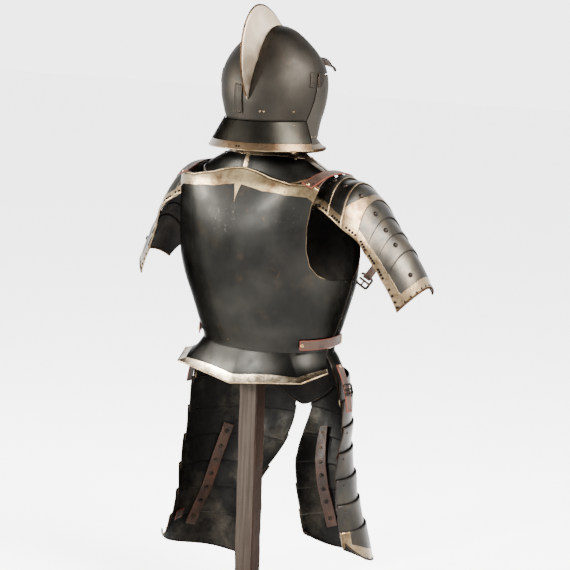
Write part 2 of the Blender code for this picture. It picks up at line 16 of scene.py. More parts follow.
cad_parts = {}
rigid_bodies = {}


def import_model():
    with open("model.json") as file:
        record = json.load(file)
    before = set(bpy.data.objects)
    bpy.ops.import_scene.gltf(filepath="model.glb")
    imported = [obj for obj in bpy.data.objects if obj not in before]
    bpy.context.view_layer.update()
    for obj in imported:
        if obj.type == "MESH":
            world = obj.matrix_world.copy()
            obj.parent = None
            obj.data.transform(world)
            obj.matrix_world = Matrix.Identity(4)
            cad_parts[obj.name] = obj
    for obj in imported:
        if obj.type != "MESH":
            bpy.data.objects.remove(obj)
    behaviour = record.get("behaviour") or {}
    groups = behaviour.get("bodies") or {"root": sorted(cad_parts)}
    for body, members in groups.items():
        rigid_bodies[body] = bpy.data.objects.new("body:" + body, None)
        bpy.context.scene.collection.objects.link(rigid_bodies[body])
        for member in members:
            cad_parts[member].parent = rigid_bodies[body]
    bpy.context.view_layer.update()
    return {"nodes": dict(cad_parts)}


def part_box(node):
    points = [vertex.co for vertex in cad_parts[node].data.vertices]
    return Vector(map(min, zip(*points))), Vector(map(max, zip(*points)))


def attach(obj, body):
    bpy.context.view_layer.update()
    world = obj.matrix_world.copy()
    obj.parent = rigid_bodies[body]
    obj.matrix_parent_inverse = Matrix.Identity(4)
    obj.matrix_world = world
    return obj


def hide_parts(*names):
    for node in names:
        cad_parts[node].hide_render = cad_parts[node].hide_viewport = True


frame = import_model()
BODY = "armour"

# %% [markdown]
# ## The camera
#
# A photographer stands well back with a long lens, so that the near arm isn't larger than the
# far one. We could aim with a constraint, but a matrix made from three directions is exact and
# easy to read: where the camera looks, what is up, and what is left over to its right.

# %% Camera
MIDDLE = Vector((-0.0466, -0.0314, 0.678))      # what the lens points at
VIEW_TURN, VIEW_RISE, VIEW_AWAY = 214.0, 10.0, 3.2
TILT = 2.0                                      # the camera is not quite level
LENS, SENSOR = 104.7, 36.0


def look_from(turn, rise, away):
    """Where an eye stands that looks at MIDDLE; 0 degrees is in front of the wearer."""
    a, b = radians(turn), radians(rise)
    return MIDDLE + away * Vector((sin(a) * cos(b), -cos(a) * cos(b), sin(b)))


eye = look_from(VIEW_TURN, VIEW_RISE, VIEW_AWAY)
back = (eye - MIDDLE).normalized()
right = Vector((0, 0, 1)).cross(back).normalized()
up = back.cross(right) * cos(radians(TILT)) - right * sin(radians(TILT))
lens = bpy.data.cameras.new("lens")
lens.lens, lens.sensor_width = LENS, SENSOR
camera = bpy.data.objects.new("camera", lens)
bpy.context.scene.collection.objects.link(camera)
camera.matrix_world = Matrix((*zip(up.cross(back), up, back, eye), (0, 0, 0, 1)))
bpy.context.scene.camera = camera
print("camera at", [round(value, 3) for value in eye])

# %% [markdown]
# ## Writing a finish
#
# A finish in Blender is a small network of nodes. Laying the nodes by hand is slow to read back,
# so this helper gives the few that we need plain names: a cloudy pattern, a threshold, a blend
# and a relief. Each finish below is then a short recipe.

# %% Node helpers
def put(tree, socket, value):
    """Link another node to a socket, or set a plain number or colour on it."""
    if isinstance(value, bpy.types.NodeSocket):
        tree.links.new(value, socket)
    elif socket.type == "RGBA":
        socket.default_value = (*value, 1.0) if isinstance(value, tuple) else (value, value, value, 1.0)
    else:
        socket.default_value = value


def lay(tree, kind, inputs=(), **settings):
    """Lay one node and give its outputs. Its settings come first, as some change its sockets."""
    node = tree.nodes.new("ShaderNode" + kind)
    for name, value in settings.items():
        setattr(node, name, value)
    for name, value in dict(inputs).items():
        put(tree, node.inputs[name], value)
    return node.outputs


def smooth_step(tree, *numbers):
    """(value, low, high, start, end): from start to end as the value goes from low to high."""
    return lay(tree, "MapRange", enumerate(numbers), interpolation_type="SMOOTHSTEP")[0]


print("node helpers:", put.__name__, lay.__name__, smooth_step.__name__)

# %% Finish helper
class Finish:
    """A node recipe for one surface."""

    def __init__(self, name):
        self.material = bpy.data.materials.new(name)
        self.material.use_nodes = True
        self.tree = self.material.node_tree
        self.place = lay(self.tree, "TexCoord")["Object"]

    def cloud(self, scale, detail=4.0, stretch=None, rough=0.55):
        """A soft random pattern; stretch squeezes it along x, y and z."""
        where = self.place
        if stretch:
            where = lay(self.tree, "Mapping", {"Vector": where, "Scale": stretch})[0]
        return lay(self.tree, "TexNoise", {"Vector": where, "Scale": scale, "Detail": detail,
                                           "Roughness": rough})["Fac"]

    def cracks(self, scale):
        """How far it is to the nearest line of a random net."""
        return lay(self.tree, "TexVoronoi", {"Vector": self.place, "Scale": scale},
                   feature="DISTANCE_TO_EDGE")["Distance"]

    def step(self, value, low, high, start=0.0, end=1.0):
        return smooth_step(self.tree, value, low, high, start, end)

    def uneven(self, start, end, scale, detail=4):
        """A number that drifts between two limits over the surface."""
        return self.step(self.cloud(scale, detail), 0.3, 0.7, start, end)

    def height(self):
        """How high a point stands, in metres."""
        return lay(self.tree, "SeparateXYZ", {0: self.place})["Z"]

    def near(self, point, reach):
        """1 at a place, falling to 0 at some metres from it."""
        away = lay(self.tree, "VectorMath", enumerate((self.place, point)), operation="DISTANCE")
        return self.step(away["Value"], reach * 0.4, reach, 1.0, 0.0)

    def sums(self, kind, one, two):
        """ADD, SUBTRACT or MULTIPLY two numbers."""
        return lay(self.tree, "Math", enumerate((one, two)), operation=kind)[0]

    def blend(self, share, one, two):
        """Two colours, mixed by a share."""
        return lay(self.tree, "Mix", {0: share, 6: one, 7: two}, data_type="RGBA")[2]

    def clouded(self, one, two, low, high, scale, detail, rough=0.55):
        """Two colours in clouds; low and high say where the second one starts and is full."""
        return self.blend(self.step(self.cloud(scale, detail, rough=rough), low, high), one, two)

    def kept(self, name):
        """A number that each mesh carries on its points."""
        return lay(self.tree, "Attribute", attribute_name=name)["Fac"]

    def relief(self, height, depth, under=None):
        """Raise the surface by depth metres where height is 1."""
        inputs = {"Strength": 1.0, "Distance": depth, "Height": height}
        return lay(self.tree, "Bump", {**inputs, "Normal": under} if under else inputs)[0]

    def done(self, colour, rough, metal, normal=None, shine=0.5, brim=1.0, glow=0.0):
        """Fill the shader. shine is the gloss of what isn't metal, brim that of a grazing view."""
        sockets = {"Base Color": colour, "Roughness": rough, "Metallic": metal, "Specular IOR Level": shine,
                   "Specular Tint": brim, "Emission Color": 1.0, "Emission Strength": glow}
        if normal:
            sockets["Normal"] = normal
        for name, value in sockets.items():
            put(self.tree, self.tree.nodes["Principled BSDF"].inputs[name], value)
        return self.material


print("a finish can draw:", [name for name in vars(Finish) if name[0] != "_"])

# %% [markdown]
# ## Floor and studio light
#
# Steel is a mirror, even when it is satin, so what we light is really the room that it sees.
# A pale room gives every plate a soft grey, and a few large soft panels draw the long highlights
# that show its curves. Small lamps would only make hot spots. The ceiling is dark, or else all the
# surfaces that face up would turn white and hide their own paint.

# %% Floor and light
FLOOR_SIZE, FLOOR_PALE, FLOOR_GLOW = 30.0, 0.74, 2.3    # a lit floor: a dark ceiling gives it too little
ROOM_LIGHT = 4.2
WALL_END, CEILING_START = 0.62, 0.76    # heights on the sky, as the sine of the angle above level
bpy.ops.mesh.primitive_plane_add(size=FLOOR_SIZE)
floor = bpy.context.object
floor.name = "floor"
floor.data.materials.append(Finish("floor_paint").done(FLOOR_PALE, 0.9, 0.0, glow=FLOOR_GLOW))

room = bpy.data.worlds.new("room")
room.use_nodes = True
sky = room.node_tree
height = lay(sky, "SeparateXYZ", {0: lay(sky, "TexCoord")["Generated"]})["Z"]
put(sky, sky.nodes["Background"].inputs["Strength"],
    smooth_step(sky, height, WALL_END, CEILING_START, ROOM_LIGHT, 0.0))
put(sky, sky.nodes["Background"].inputs["Color"], 1.0)
bpy.context.scene.world = room

PANELS = (
    # name, turn, rise, size, power, colour
    ("key_panel", 268, 40, (1.1, 1.5), 520, (1.0, 0.97, 0.93)),
    ("fill_panel", 162, 18, (0.22, 0.42), 150, (1.0, 0.99, 0.97)),
    ("blade_panel", 126, 17, (0.45, 0.35), 210, (1.0, 0.98, 0.93)),
)
PANEL_AWAY = 2.4
for name, turn, rise, size, power, colour in PANELS:
    light = bpy.data.lights.new(name, "AREA")
    light.shape = "RECTANGLE"
    light.size, light.size_y = size
    light.energy, light.color = power, colour
    stand = bpy.data.objects.new(name, light)
    bpy.context.scene.collection.objects.link(stand)
    stand.location = look_from(turn, rise, PANEL_AWAY)
    stand.rotation_euler = (MIDDLE - stand.location).to_track_quat("-Z", "Y").to_euler()
print("lights:", len(PANELS))

# %% [markdown]
# ## Black and white steel
#
# Armour of this kind is called black and white: the smith leaves the plates dark from the forge
# or paints them, and files the borders bright. Both surfaces are one sheet of steel, so one
# finish holds both, and a number named `border` on each point says how far it lies inside the
# bright part. The limit is then crisp at any distance, and the number bends with the plate.

# %% Plate steel recipe
BRIGHT, PATINA, RUST = (0.150, 0.108, 0.062), (0.030, 0.0165, 0.0080), (0.010, 0.005, 0.003)
SCUFF, DIRTY = (0.100, 0.094, 0.082), (0.055, 0.037, 0.021)
BORDER_BLUR = 0.0004        # metres over which the black gives way to the bright border


def patina(f, size=16, bright=BRIGHT):
    """Bright steel that has browned in clouds, with small specks of rust."""
    colour = f.clouded(bright, PATINA, 0.38, 0.66, size, 9, 0.72)
    return f.blend(f.step(f.cloud(260, 3), 0.60, 0.72, 0.0, 0.8), colour, RUST)


def plate_steel(name, dark, pale, brown, grey=0.0, marks=(), bright=BRIGHT, high_bright=None, brim=0.30,
                dull=0.30):
    """Black over the plate and bright on its border; grey wears the black down in pale clouds, which on the
    lower pauldron lames is also a painted highlight; marks are scuffs.

    high_bright is what the border's steel turns to on the upper half of the plate; brim is how much
    a grazing view still shines, and dull is the roughness where the surface is smoothest.
    """
    f = Finish(name)
    wear = f.cloud(60, 6)
    line = f.sums("ADD", f.kept("border"), f.sums("MULTIPLY", f.sums("SUBTRACT", wear, 0.5), 0.0012))
    border = f.step(line, -BORDER_BLUR, BORDER_BLUR)
    black = f.clouded(dark, pale, 0.35, 0.7, 6, 4)
    black = f.blend(f.step(f.cloud(13, 8, rough=0.72), 0.54, 0.74, 0.0, 0.6), black, brown)
    if grey:
        black = f.blend(f.step(f.cloud(26, 8, (1.0, 1.0, 0.7), 0.62), 0.38, 0.72, 0.0, grey), black, BRIGHT)
    scratch = f.step(f.cloud(46, 2, (1.0, 7.0, 0.35)), 0.745, 0.76, 0.0, 0.35)
    black = f.blend(scratch, black, PATINA)
    for point, reach in marks:
        flecks = f.step(f.cloud(230, 6, (1.0, 1.0, 0.8), 0.75), 0.56, 0.72, 0.0, 0.40)
        black = f.blend(f.sums("MULTIPLY", f.near(point, reach), flecks), black, SCUFF)
    rub = f.sums("ADD", f.kept("edge"), f.sums("MULTIPLY", wear, 0.003))
    black = f.blend(f.step(rub, 0.0016, 0.0024, 0.8, 0.0), black, RUST)
    if high_bright:
        bright = f.blend(f.step(f.height(), 0.60, 0.80), bright, high_bright)
    rough = f.sums("ADD", f.uneven(dull, dull + 0.12, 25, 6), f.sums("MULTIPLY", border, -0.04))
    dents = f.relief(f.cloud(7, 2), 0.0030)
    grain = f.relief(f.cloud(420, 3), 0.00012, dents)
    return f.done(f.blend(border, black, patina(f, 16, bright)), rough, 1.0,
                  f.relief(border, 0.0005, grain), brim=f.step(border, 0.0, 1.0, brim, 1.0))


BLACK = (0.0062, 0.0061, 0.0056), (0.0135, 0.0130, 0.0115), (0.020, 0.0145, 0.0095)
PLATE = plate_steel("plate_steel", *BLACK)
print("plate steel:", len(PLATE.node_tree.nodes), "nodes")

# %% The other steels
def inside_steel(name, dark, pale):
    """The rough inner side, nearly black, with a little rust."""
    f = Finish(name)
    return f.done(f.clouded(dark, pale, 0.45, 0.70, 9, 8, 0.7), f.uneven(0.42, 0.62, 40), 0.8,
                  f.relief(f.cloud(60, 5), 0.0008), shine=0.2, brim=0.4)


def bright_steel():
    """Polished steel with a brown patina, for turned edges and fittings."""
    f = Finish("bright_steel")
    return f.done(patina(f, 22), f.uneven(0.28, 0.44, 70), 1.0, f.relief(f.cloud(300, 4), 0.0002))


BACK = plate_steel("back_steel", *BLACK, bright=(0.50, 0.42, 0.29), high_bright=(0.110, 0.084, 0.046),
                   marks=(((0.018, 0.093, 0.815), 0.045), ((-0.118, 0.075, 0.825), 0.035)))
COMB_STEEL = plate_steel("comb_steel", (0.36, 0.285, 0.20), (0.56, 0.46, 0.35), (0.055, 0.029, 0.015))
SKULL_STEEL = plate_steel("skull_steel", (0.0090, 0.0082, 0.0070), (0.0185, 0.0162, 0.0132),
                          (0.020, 0.0130, 0.0080), bright=DIRTY, brim=0.55, dull=0.44)
GUARD_STEEL = plate_steel("guard_steel", (0.0052, 0.0049, 0.0042), (0.0105, 0.0096, 0.0078),
                          (0.014, 0.0090, 0.0055), bright=DIRTY, brim=0.22)
CHEEK_STEEL = plate_steel("cheek_steel", (0.0190, 0.0174, 0.0150), (0.0340, 0.0305, 0.0255),
                          (0.030, 0.0205, 0.0130), bright=DIRTY, brim=0.5, dull=0.44)
GREYED = plate_steel("greyed_steel", (0.0110, 0.0106, 0.0097), (0.0190, 0.0182, 0.0164),
                     (0.016, 0.0128, 0.0092), 0.08, brim=0.75)
# The worn steel of the lower pauldron lames is paler: part wear, and part a painted highlight where the key
# panel's reflection falls on them.
WORN_AND_HIGHLIT = plate_steel("worn_highlit_steel", (0.0135, 0.0128, 0.0115), (0.0225, 0.0212, 0.0187),
                   (0.018, 0.0148, 0.0110), 0.14, brim=0.7)
INSIDE = inside_steel("inside_steel", (0.0034, 0.0031, 0.0028), (0.0095, 0.0075, 0.0056))
TASSET_INSIDE = inside_steel("tasset_inside", (0.0044, 0.0043, 0.0040), (0.022, 0.019, 0.0145))
WHITE = bright_steel()
print("steels:", [item.name for item in bpy.data.materials if "steel" in item.name])

# %% [markdown]
# ## Iron, brass, leather and wood
#
# The small fittings are iron and brass, the straps are old harness leather, dark on the face and
# red at the cut edge, and the post is a weathered board whose face has greyed and split along its
# grain. A noise that is squeezed along one axis gives grain and splits without any picture.

# %% Leather and wood recipes
def harness_leather(name, face, worn, red, rim):
    """Leather: dark on the face, worn paler in clouds, and red or pale along its cut edge."""
    f = Finish(name)
    colour = f.clouded(face, worn, 0.35, 0.65, 30, 6)
    colour = f.blend(f.step(f.cloud(12, 8, rough=0.7), 0.52, 0.68, 0.0, 0.8), colour, red)
    colour = f.blend(f.step(f.kept("edge"), 0.0008, 0.0024, 0.9, 0.0), colour, rim)
    creases = f.relief(f.cracks(190), 0.0006)
    pores = f.relief(f.cloud(500, 3), 0.0002, creases)
    return f.done(colour, f.uneven(0.42, 0.62, 50), 0.0, pores, shine=0.14)


def old_wood(name, dark, pale):
    """Weathered wood: fine grain along z, and a few dark splits."""
    f = Finish(name)
    grain = f.cloud(34, 6, (6.0, 6.0, 0.16), 0.6)
    colour = f.blend(f.step(grain, 0.35, 0.65), dark, pale)
    colour = f.blend(f.step(f.cloud(5, 3), 0.4, 0.7, 0.0, 0.5), colour, dark)
    split = f.step(f.cloud(26, 3, (5.0, 5.0, 0.22)), 0.70, 0.735)
    colour = f.blend(split, colour, (0.006, 0.004, 0.003))
    height = f.sums("SUBTRACT", f.sums("MULTIPLY", grain, 0.5), split)
    return f.done(colour, 0.80, 0.0, f.relief(height, 0.0009), shine=0.08)


LEATHER = harness_leather("strap_leather", (0.0085, 0.0036, 0.0020), (0.0215, 0.0110, 0.0066),
                          (0.026, 0.0030, 0.0014), (0.046, 0.0080, 0.0032))
INNER_LEATHER = harness_leather("inner_leather", (0.0060, 0.0028, 0.0016), (0.017, 0.0066, 0.0030),
                                (0.032, 0.0085, 0.0022), (0.015, 0.0058, 0.0026))
# The brown wood is the stand's darker wood; on the post's narrow faces it is also painted shade.
GREY_WOOD = old_wood("grey_wood", (0.0115, 0.0078, 0.0054), (0.0215, 0.0160, 0.0120))
BROWN_WOOD_AND_SHADE = old_wood("brown_wood_and_shade", (0.0048, 0.0022, 0.0013), (0.0098, 0.0048, 0.0030))
for node in ("stand_base", "stand_shoulder_bar", "stand_head_block"):
    frame["nodes"][node].material_slots[0].material = BROWN_WOOD_AND_SHADE
print("leathers and woods:", LEATHER.name, INNER_LEATHER.name, GREY_WOOD.name, BROWN_WOOD_AND_SHADE.name)

# %% Iron and brass
def fitting(name, clouds, rough, metal, grain, brim=1.0):
    """A small metal piece: two colours in clouds, and a fine grain of (scale, detail, depth)."""
    f = Finish(name)
    scale, detail, depth = grain
    return f.done(f.clouded(*clouds), rough, metal, f.relief(f.cloud(scale, detail), depth), brim=brim)


BROWNED = fitting("brown_steel", ((0.040, 0.022, 0.011), (0.012, 0.007, 0.004), 0.4, 0.65, 40, 6),
                  0.42, 1.0, (300, 4, 0.0002), 0.4)
IRON = fitting("dark_iron", ((0.0060, 0.0050, 0.0043), (0.019, 0.0125, 0.0082), 0.45, 0.65, 90, 5),
               0.45, 0.9, (260, 4, 0.0003), 0.5)
BRASS = fitting("old_brass", ((0.34, 0.235, 0.105), (0.10, 0.055, 0.024), 0.4, 0.65, 120, 5),
                0.34, 1.0, (300, 3, 0.0001))
print("finishes in all:", len(bpy.data.materials))

# %% [markdown]
# ## Reading a form from a table
#
# An armourer works from a few measured sections: so wide here, so deep there, and a fair curve
# between them. These helpers do the same. `smooth` draws a curve through the rows of a table,
# `table` draws straight lines, and `row_of` finds how far down a table a height lies.

# %% Curves through tables
def table(rows, at, column=1):
    """Read one column of a table with straight lines between its rows, by its first column."""
    if rows[0][0] > rows[-1][0]:
        rows = rows[::-1]
    if at <= rows[0][0]:
        return rows[0][column]
    for low, high in zip(rows, rows[1:]):
        if at <= high[0]:
            share = (at - low[0]) / (high[0] - low[0])
            return low[column] + (high[column] - low[column]) * share
    return rows[-1][column]


def smooth(rows, at, column):
    """Read a column with a curve through the rows, where `at` counts rows."""
    last = len(rows) - 1
    index = min(int(at), last - 1)
    share = at - index
    before = rows[max(index - 1, 0)][column]
    low, high = rows[index][column], rows[index + 1][column]
    after = rows[min(index + 2, last)][column]
    a = 2 * low
    b = high - before
    c = 2 * before - 5 * low + 4 * high - after
    d = 3 * low - before - 3 * high + after
    return 0.5 * (a + b * share + c * share ** 2 + d * share ** 3)


def smooth_row(rows, at):
    """All the columns of a table at once."""
    return [smooth(rows, at, column) for column in range(len(rows[0]))]


def row_of(rows, at):
    """Count rows of a table down to a height."""
    return table([(row[0], index) for index, row in enumerate(rows)], at)


def signed_power(value, power):
    return copysign(abs(value) ** power, value)


def bump(value, width):
    """A smooth hump: 1 at 0, and nearly nothing beyond twice its width."""
    return exp(-((value / width) ** 2))


print("halfway down a table of 0, 1, 4:", smooth(((0,), (1,), (4,)), 1.5, 0))

# %% [markdown]
# ## Making a plate
#
# A steel plate is a thin wall on a curved form. We could sculpt it, but a plate whose form is a
# function of two shares, s across and t up, can be measured along its edges, and that is what its
# borders, rivets and turned edges need. Solidify then gives the wall its real thickness, with the
# rough finish inside. Each point keeps two numbers: how far it lies inside the bright border, and
# how far from the nearest edge.

# %% Putting a piece in the scene
WALL, BODY_WALL, GAP = 0.0016, 0.0020, 0.0006       # thickness of steel, and air between two plates
NO_BORDER = (0.0, 0.0, 0.0, 0.0)
PLATE_CREASE, RIVET_CREASE = 35, 50                 # degrees: sharper edges than this stay crisp


def link(piece, body=BODY, slot="black_steel", node=None):
    """Put a piece in the scene on its body, in place of a plain node of the frame."""
    bpy.context.scene.collection.objects.link(piece)
    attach(piece, body)
    if node:
        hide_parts(node)
    return piece


def built(name, shape, finishes, crease, **linked):
    """Turn a shape into a piece, smooth but for its creases, or flat-faced with no crease angle."""
    mesh = bpy.data.meshes.new(name)
    shape.normal_update()
    shape.to_mesh(mesh)
    shape.free()
    if crease:
        mesh.shade_smooth()
        mesh.set_sharp_from_angle(angle=radians(crease))
    for finish in finishes:
        mesh.materials.append(finish)
    return link(bpy.data.objects.new(name, mesh), **linked)


print("plates:", 1000 * WALL, "mm; back and breast:", 1000 * BODY_WALL, "mm")

# %% Plate helper
def lengths(points):
    """How far along a row of points each one lies."""
    along = [0.0]
    for here, there in zip(points, points[1:]):
        along.append(along[-1] + (there - here).length)
    return along


def plate(name, surface, across, along, wall=WALL, borders=NO_BORDER, figure=None, outer=PLATE,
          inner=INSIDE, **linked):
    """A wall on surface(s, t); borders are the bright border's widths at s = 0, s = 1, t = 0, t = 1.

    figure(s, t, to_s0, to_s1, to_t0, to_t1) draws a border of its own.
    """
    shape = bmesh.new()
    border = shape.verts.layers.float.new("border")
    edge = shape.verts.layers.float.new("edge")
    bmesh.ops.create_grid(shape, x_segments=across, y_segments=along, size=0.5)
    grid = {}
    for vertex in shape.verts:
        i, j = round((vertex.co.x + 0.5) * across), round((vertex.co.y + 0.5) * along)
        vertex.co = surface(i / across, j / along)
        grid[i, j] = vertex
    rows = [lengths([grid[i, j].co for i in range(across + 1)]) for j in range(along + 1)]
    columns = [lengths([grid[i, j].co for j in range(along + 1)]) for i in range(across + 1)]
    for (i, j), vertex in grid.items():
        reach = (rows[j][i], rows[j][-1] - rows[j][i], columns[i][j], columns[i][-1] - columns[i][j])
        depths = [width - far for width, far in zip(borders, reach) if width > 0]
        if figure:
            depths.append(figure(i / across, j / along, *reach))
        vertex[border] = max(depths) if depths else -1.0
        vertex[edge] = min(reach)
    piece = built(name, shape, (outer, inner), PLATE_CREASE, **linked)
    solid = piece.modifiers.new("wall", "SOLIDIFY")
    solid.thickness, solid.offset = wall, -1.0
    solid.use_even_offset = solid.use_quality_normals = True
    solid.material_offset = 1
    return piece


print("steps along a 3, 4, 5 corner:", lengths([Vector((0, 0, 0)), Vector((3, 0, 0)), Vector((3, 4, 0))]))

# %% Two sides of one body
def flip(surface):
    """The same surface walked the other way, so that its faces look out."""
    return lambda s, t: surface(1.0 - s, t)


def same(surface):
    return surface


def mirrored(surface):
    """The surface of the twin on the other side of the body."""
    def twin(s, t):
        point = surface(1.0 - s, t)
        return Vector((-point.x, point.y, point.z))
    return twin


SIDES = (("left", same), ("right", mirrored))       # every form is written for the wearer's left
print("sides:", [word for word, twin in SIDES])

# %% [markdown]
# ## Turned edges, rivets and lining holes
#
# A cut edge is sharp and bends easily, so the armourer turns it over a wire: that is a round bead
# along the rim. A curve with a bevel makes it in one go. Rivets hold the leathers inside, and
# rows of small holes once held a quilted lining. All the rivets of one kind become one mesh,
# which is lighter than hundreds of objects.

# %% Spots and turned edges
SPOT_REACH, DISC_HEIGHT = 0.004, 0.0012


def spot(surface, s, t):
    """A point of a surface and the way out of it."""
    s0, s1 = max(s - SPOT_REACH, 0), min(s + SPOT_REACH, 1)
    t0, t1 = max(t - SPOT_REACH, 0), min(t + SPOT_REACH, 1)
    along_s = surface(s1, t) - surface(s0, t)
    along_t = surface(s, t1) - surface(s, t0)
    return surface(s, t), along_s.cross(along_t).normalized()


def spots(surface, *places):
    return [spot(surface, s, t) for s, t in places]


def from_inside(places, wall):
    """The same spots on the inner side of the wall."""
    return [(point - out * wall, -out) for point, out in places]


def wire(name, points, radius, finish=WHITE, body=BODY):
    """A round wire through points."""
    curve = bpy.data.curves.new(name, "CURVE")
    curve.dimensions = "3D"
    curve.bevel_depth, curve.bevel_resolution = radius, 3
    curve.use_fill_caps = True
    line = curve.splines.new("POLY")
    line.points.add(len(points) - 1)
    for knot, point in zip(line.points, points):
        knot.co = (*point, 1.0)
    curve.materials.append(finish)
    return link(bpy.data.objects.new(name, curve), body, "white_steel")


def bead(name, surface, side, radius, finish=WHITE, body=BODY, wall=WALL, steps=80, start=0.0):
    """A turned edge in the middle of a plate's wall; side is s0, s1, t0 or t1."""
    points = []
    for step in range(steps + 1):
        along, end = start + (1.0 - start) * step / steps, int(side[1])
        point, out = spot(surface, *((end, along) if side[0] == "s" else (along, end)))
        points.append(point - out * wall / 2)
    return wire(name, points, radius, finish, body)


print("the way out of a flat sheet:", *spot(lambda s, t: Vector((s, t, 0)), 0.5, 0.5)[1])

# %% Rivets and holes
def standing(point, out):
    """The placing of something that stands on a surface."""
    side = out.orthogonal().normalized()
    return Matrix((*zip(side, out.cross(side), out, point), (0, 0, 0, 1)))


def disc(shape, place, segments, low, high):
    """A low round plug with its two radii."""
    made = bmesh.ops.create_cone(shape, cap_ends=True, segments=segments, radius1=low, radius2=high,
                                 depth=DISC_HEIGHT)
    bmesh.ops.transform(shape, matrix=place, verts=made["verts"])


def rivets(name, places, radius, finish, body=BODY, high=0.5, washer=0.0):
    """Domed rivet heads in one mesh, each on its (point, way out)."""
    shape = bmesh.new()
    for point, out in places:
        place = standing(point, out)
        if washer:
            disc(shape, place, 20, washer, washer * 0.93)
        head = bmesh.ops.create_uvsphere(shape, u_segments=12, v_segments=8, radius=radius)
        bmesh.ops.transform(shape, matrix=place @ Matrix.Diagonal((1, 1, high, 1)), verts=head["verts"])
    return built(name, shape, [finish], RIVET_CREASE, body=body, slot="white_steel")


HOLE_SHADOW = Finish("hole_shadow").done(0.002, 0.9, 0.0, shine=0.0)


def holes(name, places, radius):
    """Small punched holes: a dark dish, painted shadow in place of the open hole, that just breaks the
    surface.
    """
    shape = bmesh.new()
    for point, out in places:
        disc(shape, standing(point, out), 12, radius, radius * 0.8)
    return built(name, shape, [HOLE_SHADOW], None)


print("a rivet turned to face sideways:", *standing(Vector((0, 0, 0)), Vector((1, 0, 0))).col[2][:3])

# %% [markdown]
# ## The form of the body
#
# The back and the breast share one form: a barrel that is widest at the chest and drawn in at the
# waist, with a keel down the front. Its rows are the same sections that the plates were cut to,
# so every shell made from it lies exactly where the frame has its plain node.

# %% Torso and skirt forms
TORSO = (
    # z, half_width, front, back, side_y, roundness of the back (1 = round, less = squarer)
    (0.560, 0.137, 0.168, 0.050, -0.052, 0.92),
    (0.600, 0.147, 0.182, 0.066, -0.052, 0.92),
    (0.645, 0.161, 0.190, 0.079, -0.050, 0.92),
    (0.690, 0.176, 0.192, 0.088, -0.044, 0.91),
    (0.740, 0.184, 0.187, 0.094, -0.038, 0.89),
    (0.790, 0.186, 0.178, 0.092, -0.034, 0.86),
    (0.840, 0.184, 0.163, 0.082, -0.030, 0.78),
    (0.880, 0.177, 0.140, 0.069, -0.028, 0.66),
    (0.915, 0.164, 0.112, 0.053, -0.026, 0.60),
)
FRONT_ROUNDNESS, KEEL_HEIGHT, KEEL_WIDTH = 0.92, 0.005, 0.15
SKIRT = (
    # z, half_width, front, side_y
    (0.556, 0.131, 0.162, -0.052),
    (0.535, 0.145, 0.174, -0.050),
    (0.500, 0.165, 0.182, -0.046),
    (0.452, 0.176, 0.184, -0.044),
    (0.402, 0.181, 0.180, -0.042),
)
WAIST = TORSO[0][0]


def torso(angle, z, out=0.0):
    """A point of the torso form; 0 degrees is the centre of the back, 180 that of the breast."""
    turn = radians(angle)
    _, half, front, back, side_y, roundness = smooth_row(TORSO, row_of(TORSO, z))
    if cos(turn) > 0:
        reach = back - side_y + out
    else:
        roundness = FRONT_ROUNDNESS
        reach = front + side_y + out + KEEL_HEIGHT * bump(sin(turn), KEEL_WIDTH)
    return Vector(((half + out) * signed_power(sin(turn), roundness),
                   side_y + reach * signed_power(cos(turn), roundness), z))


def skirt(angle, z, out=0.0):
    """A point of the fauld form; 0 degrees is the front, positive to the wearer's left."""
    turn = radians(angle)
    _, half, front, side_y = smooth_row(SKIRT, row_of(SKIRT, z))
    return Vector(((half + out) * sin(turn), side_y - (front + side_y + out) * cos(turn), z))


print("chest", round(2000 * torso(90, 0.74).x), "mm wide, waist", round(2000 * torso(90, WAIST).x), "mm")

# %% [markdown]
# ## The back plate
#
# The back plate is one sheet, beaten out over the shoulder blades and turned out below the waist
# in a flange, the culet, whose edge has three straight sides. The neck and the flange have bright
# borders, and the neck's runs down to a point in the middle. The armholes are cut away and their
# edges turned, so that they don't cut the arm.

# %% Back form
BACK_EDGE = (
    # z, angle
    (0.560, 88.0), (0.600, 95.0), (0.640, 97.0), (0.699, 97.0), (0.703, 86.0), (0.707, 71.0),
    (0.715, 61.0), (0.735, 53.5), (0.765, 50.0), (0.810, 49.0), (0.850, 51.0), (0.885, 60.0),
)
BACK_ROWS = ((0.0, 0.0), (0.31, 0.40), (0.56, 0.48), (1.0, 1.0))           # share of rows, of height
BACK_NECK = ((0.0, 0.908), (0.2, 0.895), (0.5, 0.886), (0.85, 0.887), (1.0, 0.880))     # across, z
FLANGE_EDGE = (
    # x, y, z
    (0.000, 0.078, 0.497), (0.146, 0.051, 0.514), (0.169, -0.004, 0.528),
)
FLANGE_SHARE, FLANGE_SAG = 0.2, 0.008


def back_plate(s, t):
    """Back plate, from the culet flange's edge up to the neck."""
    side = 2 * s - 1
    if t >= FLANGE_SHARE:
        share = table(BACK_ROWS, (t - FLANGE_SHARE) / (1 - FLANGE_SHARE))
        z = WAIST + (table(BACK_NECK, abs(side)) - WAIST) * share
        return torso(side * table(BACK_EDGE, z), z)
    reach = abs(side) * (len(FLANGE_EDGE) - 1)
    corner = min(int(reach), len(FLANGE_EDGE) - 2)
    low = Vector(FLANGE_EDGE[corner]).lerp(Vector(FLANGE_EDGE[corner + 1]), reach - corner)
    low.x = copysign(low.x, side)
    share = 1 - t / FLANGE_SHARE
    point = torso(side * BACK_EDGE[0][1], WAIST).lerp(low, share)
    point.z -= FLANGE_SAG * sin(pi * share)
    return point


print("back plate", round(1000 * (back_plate(0.5, 1) - back_plate(0.5, 0)).length), "mm tall")

# %% Back plate
FLANGE_BORDER, NECK_BORDER = 0.0175, 0.021
SPIKE_LENGTH, SPIKE_HALF = 0.036, 0.0062


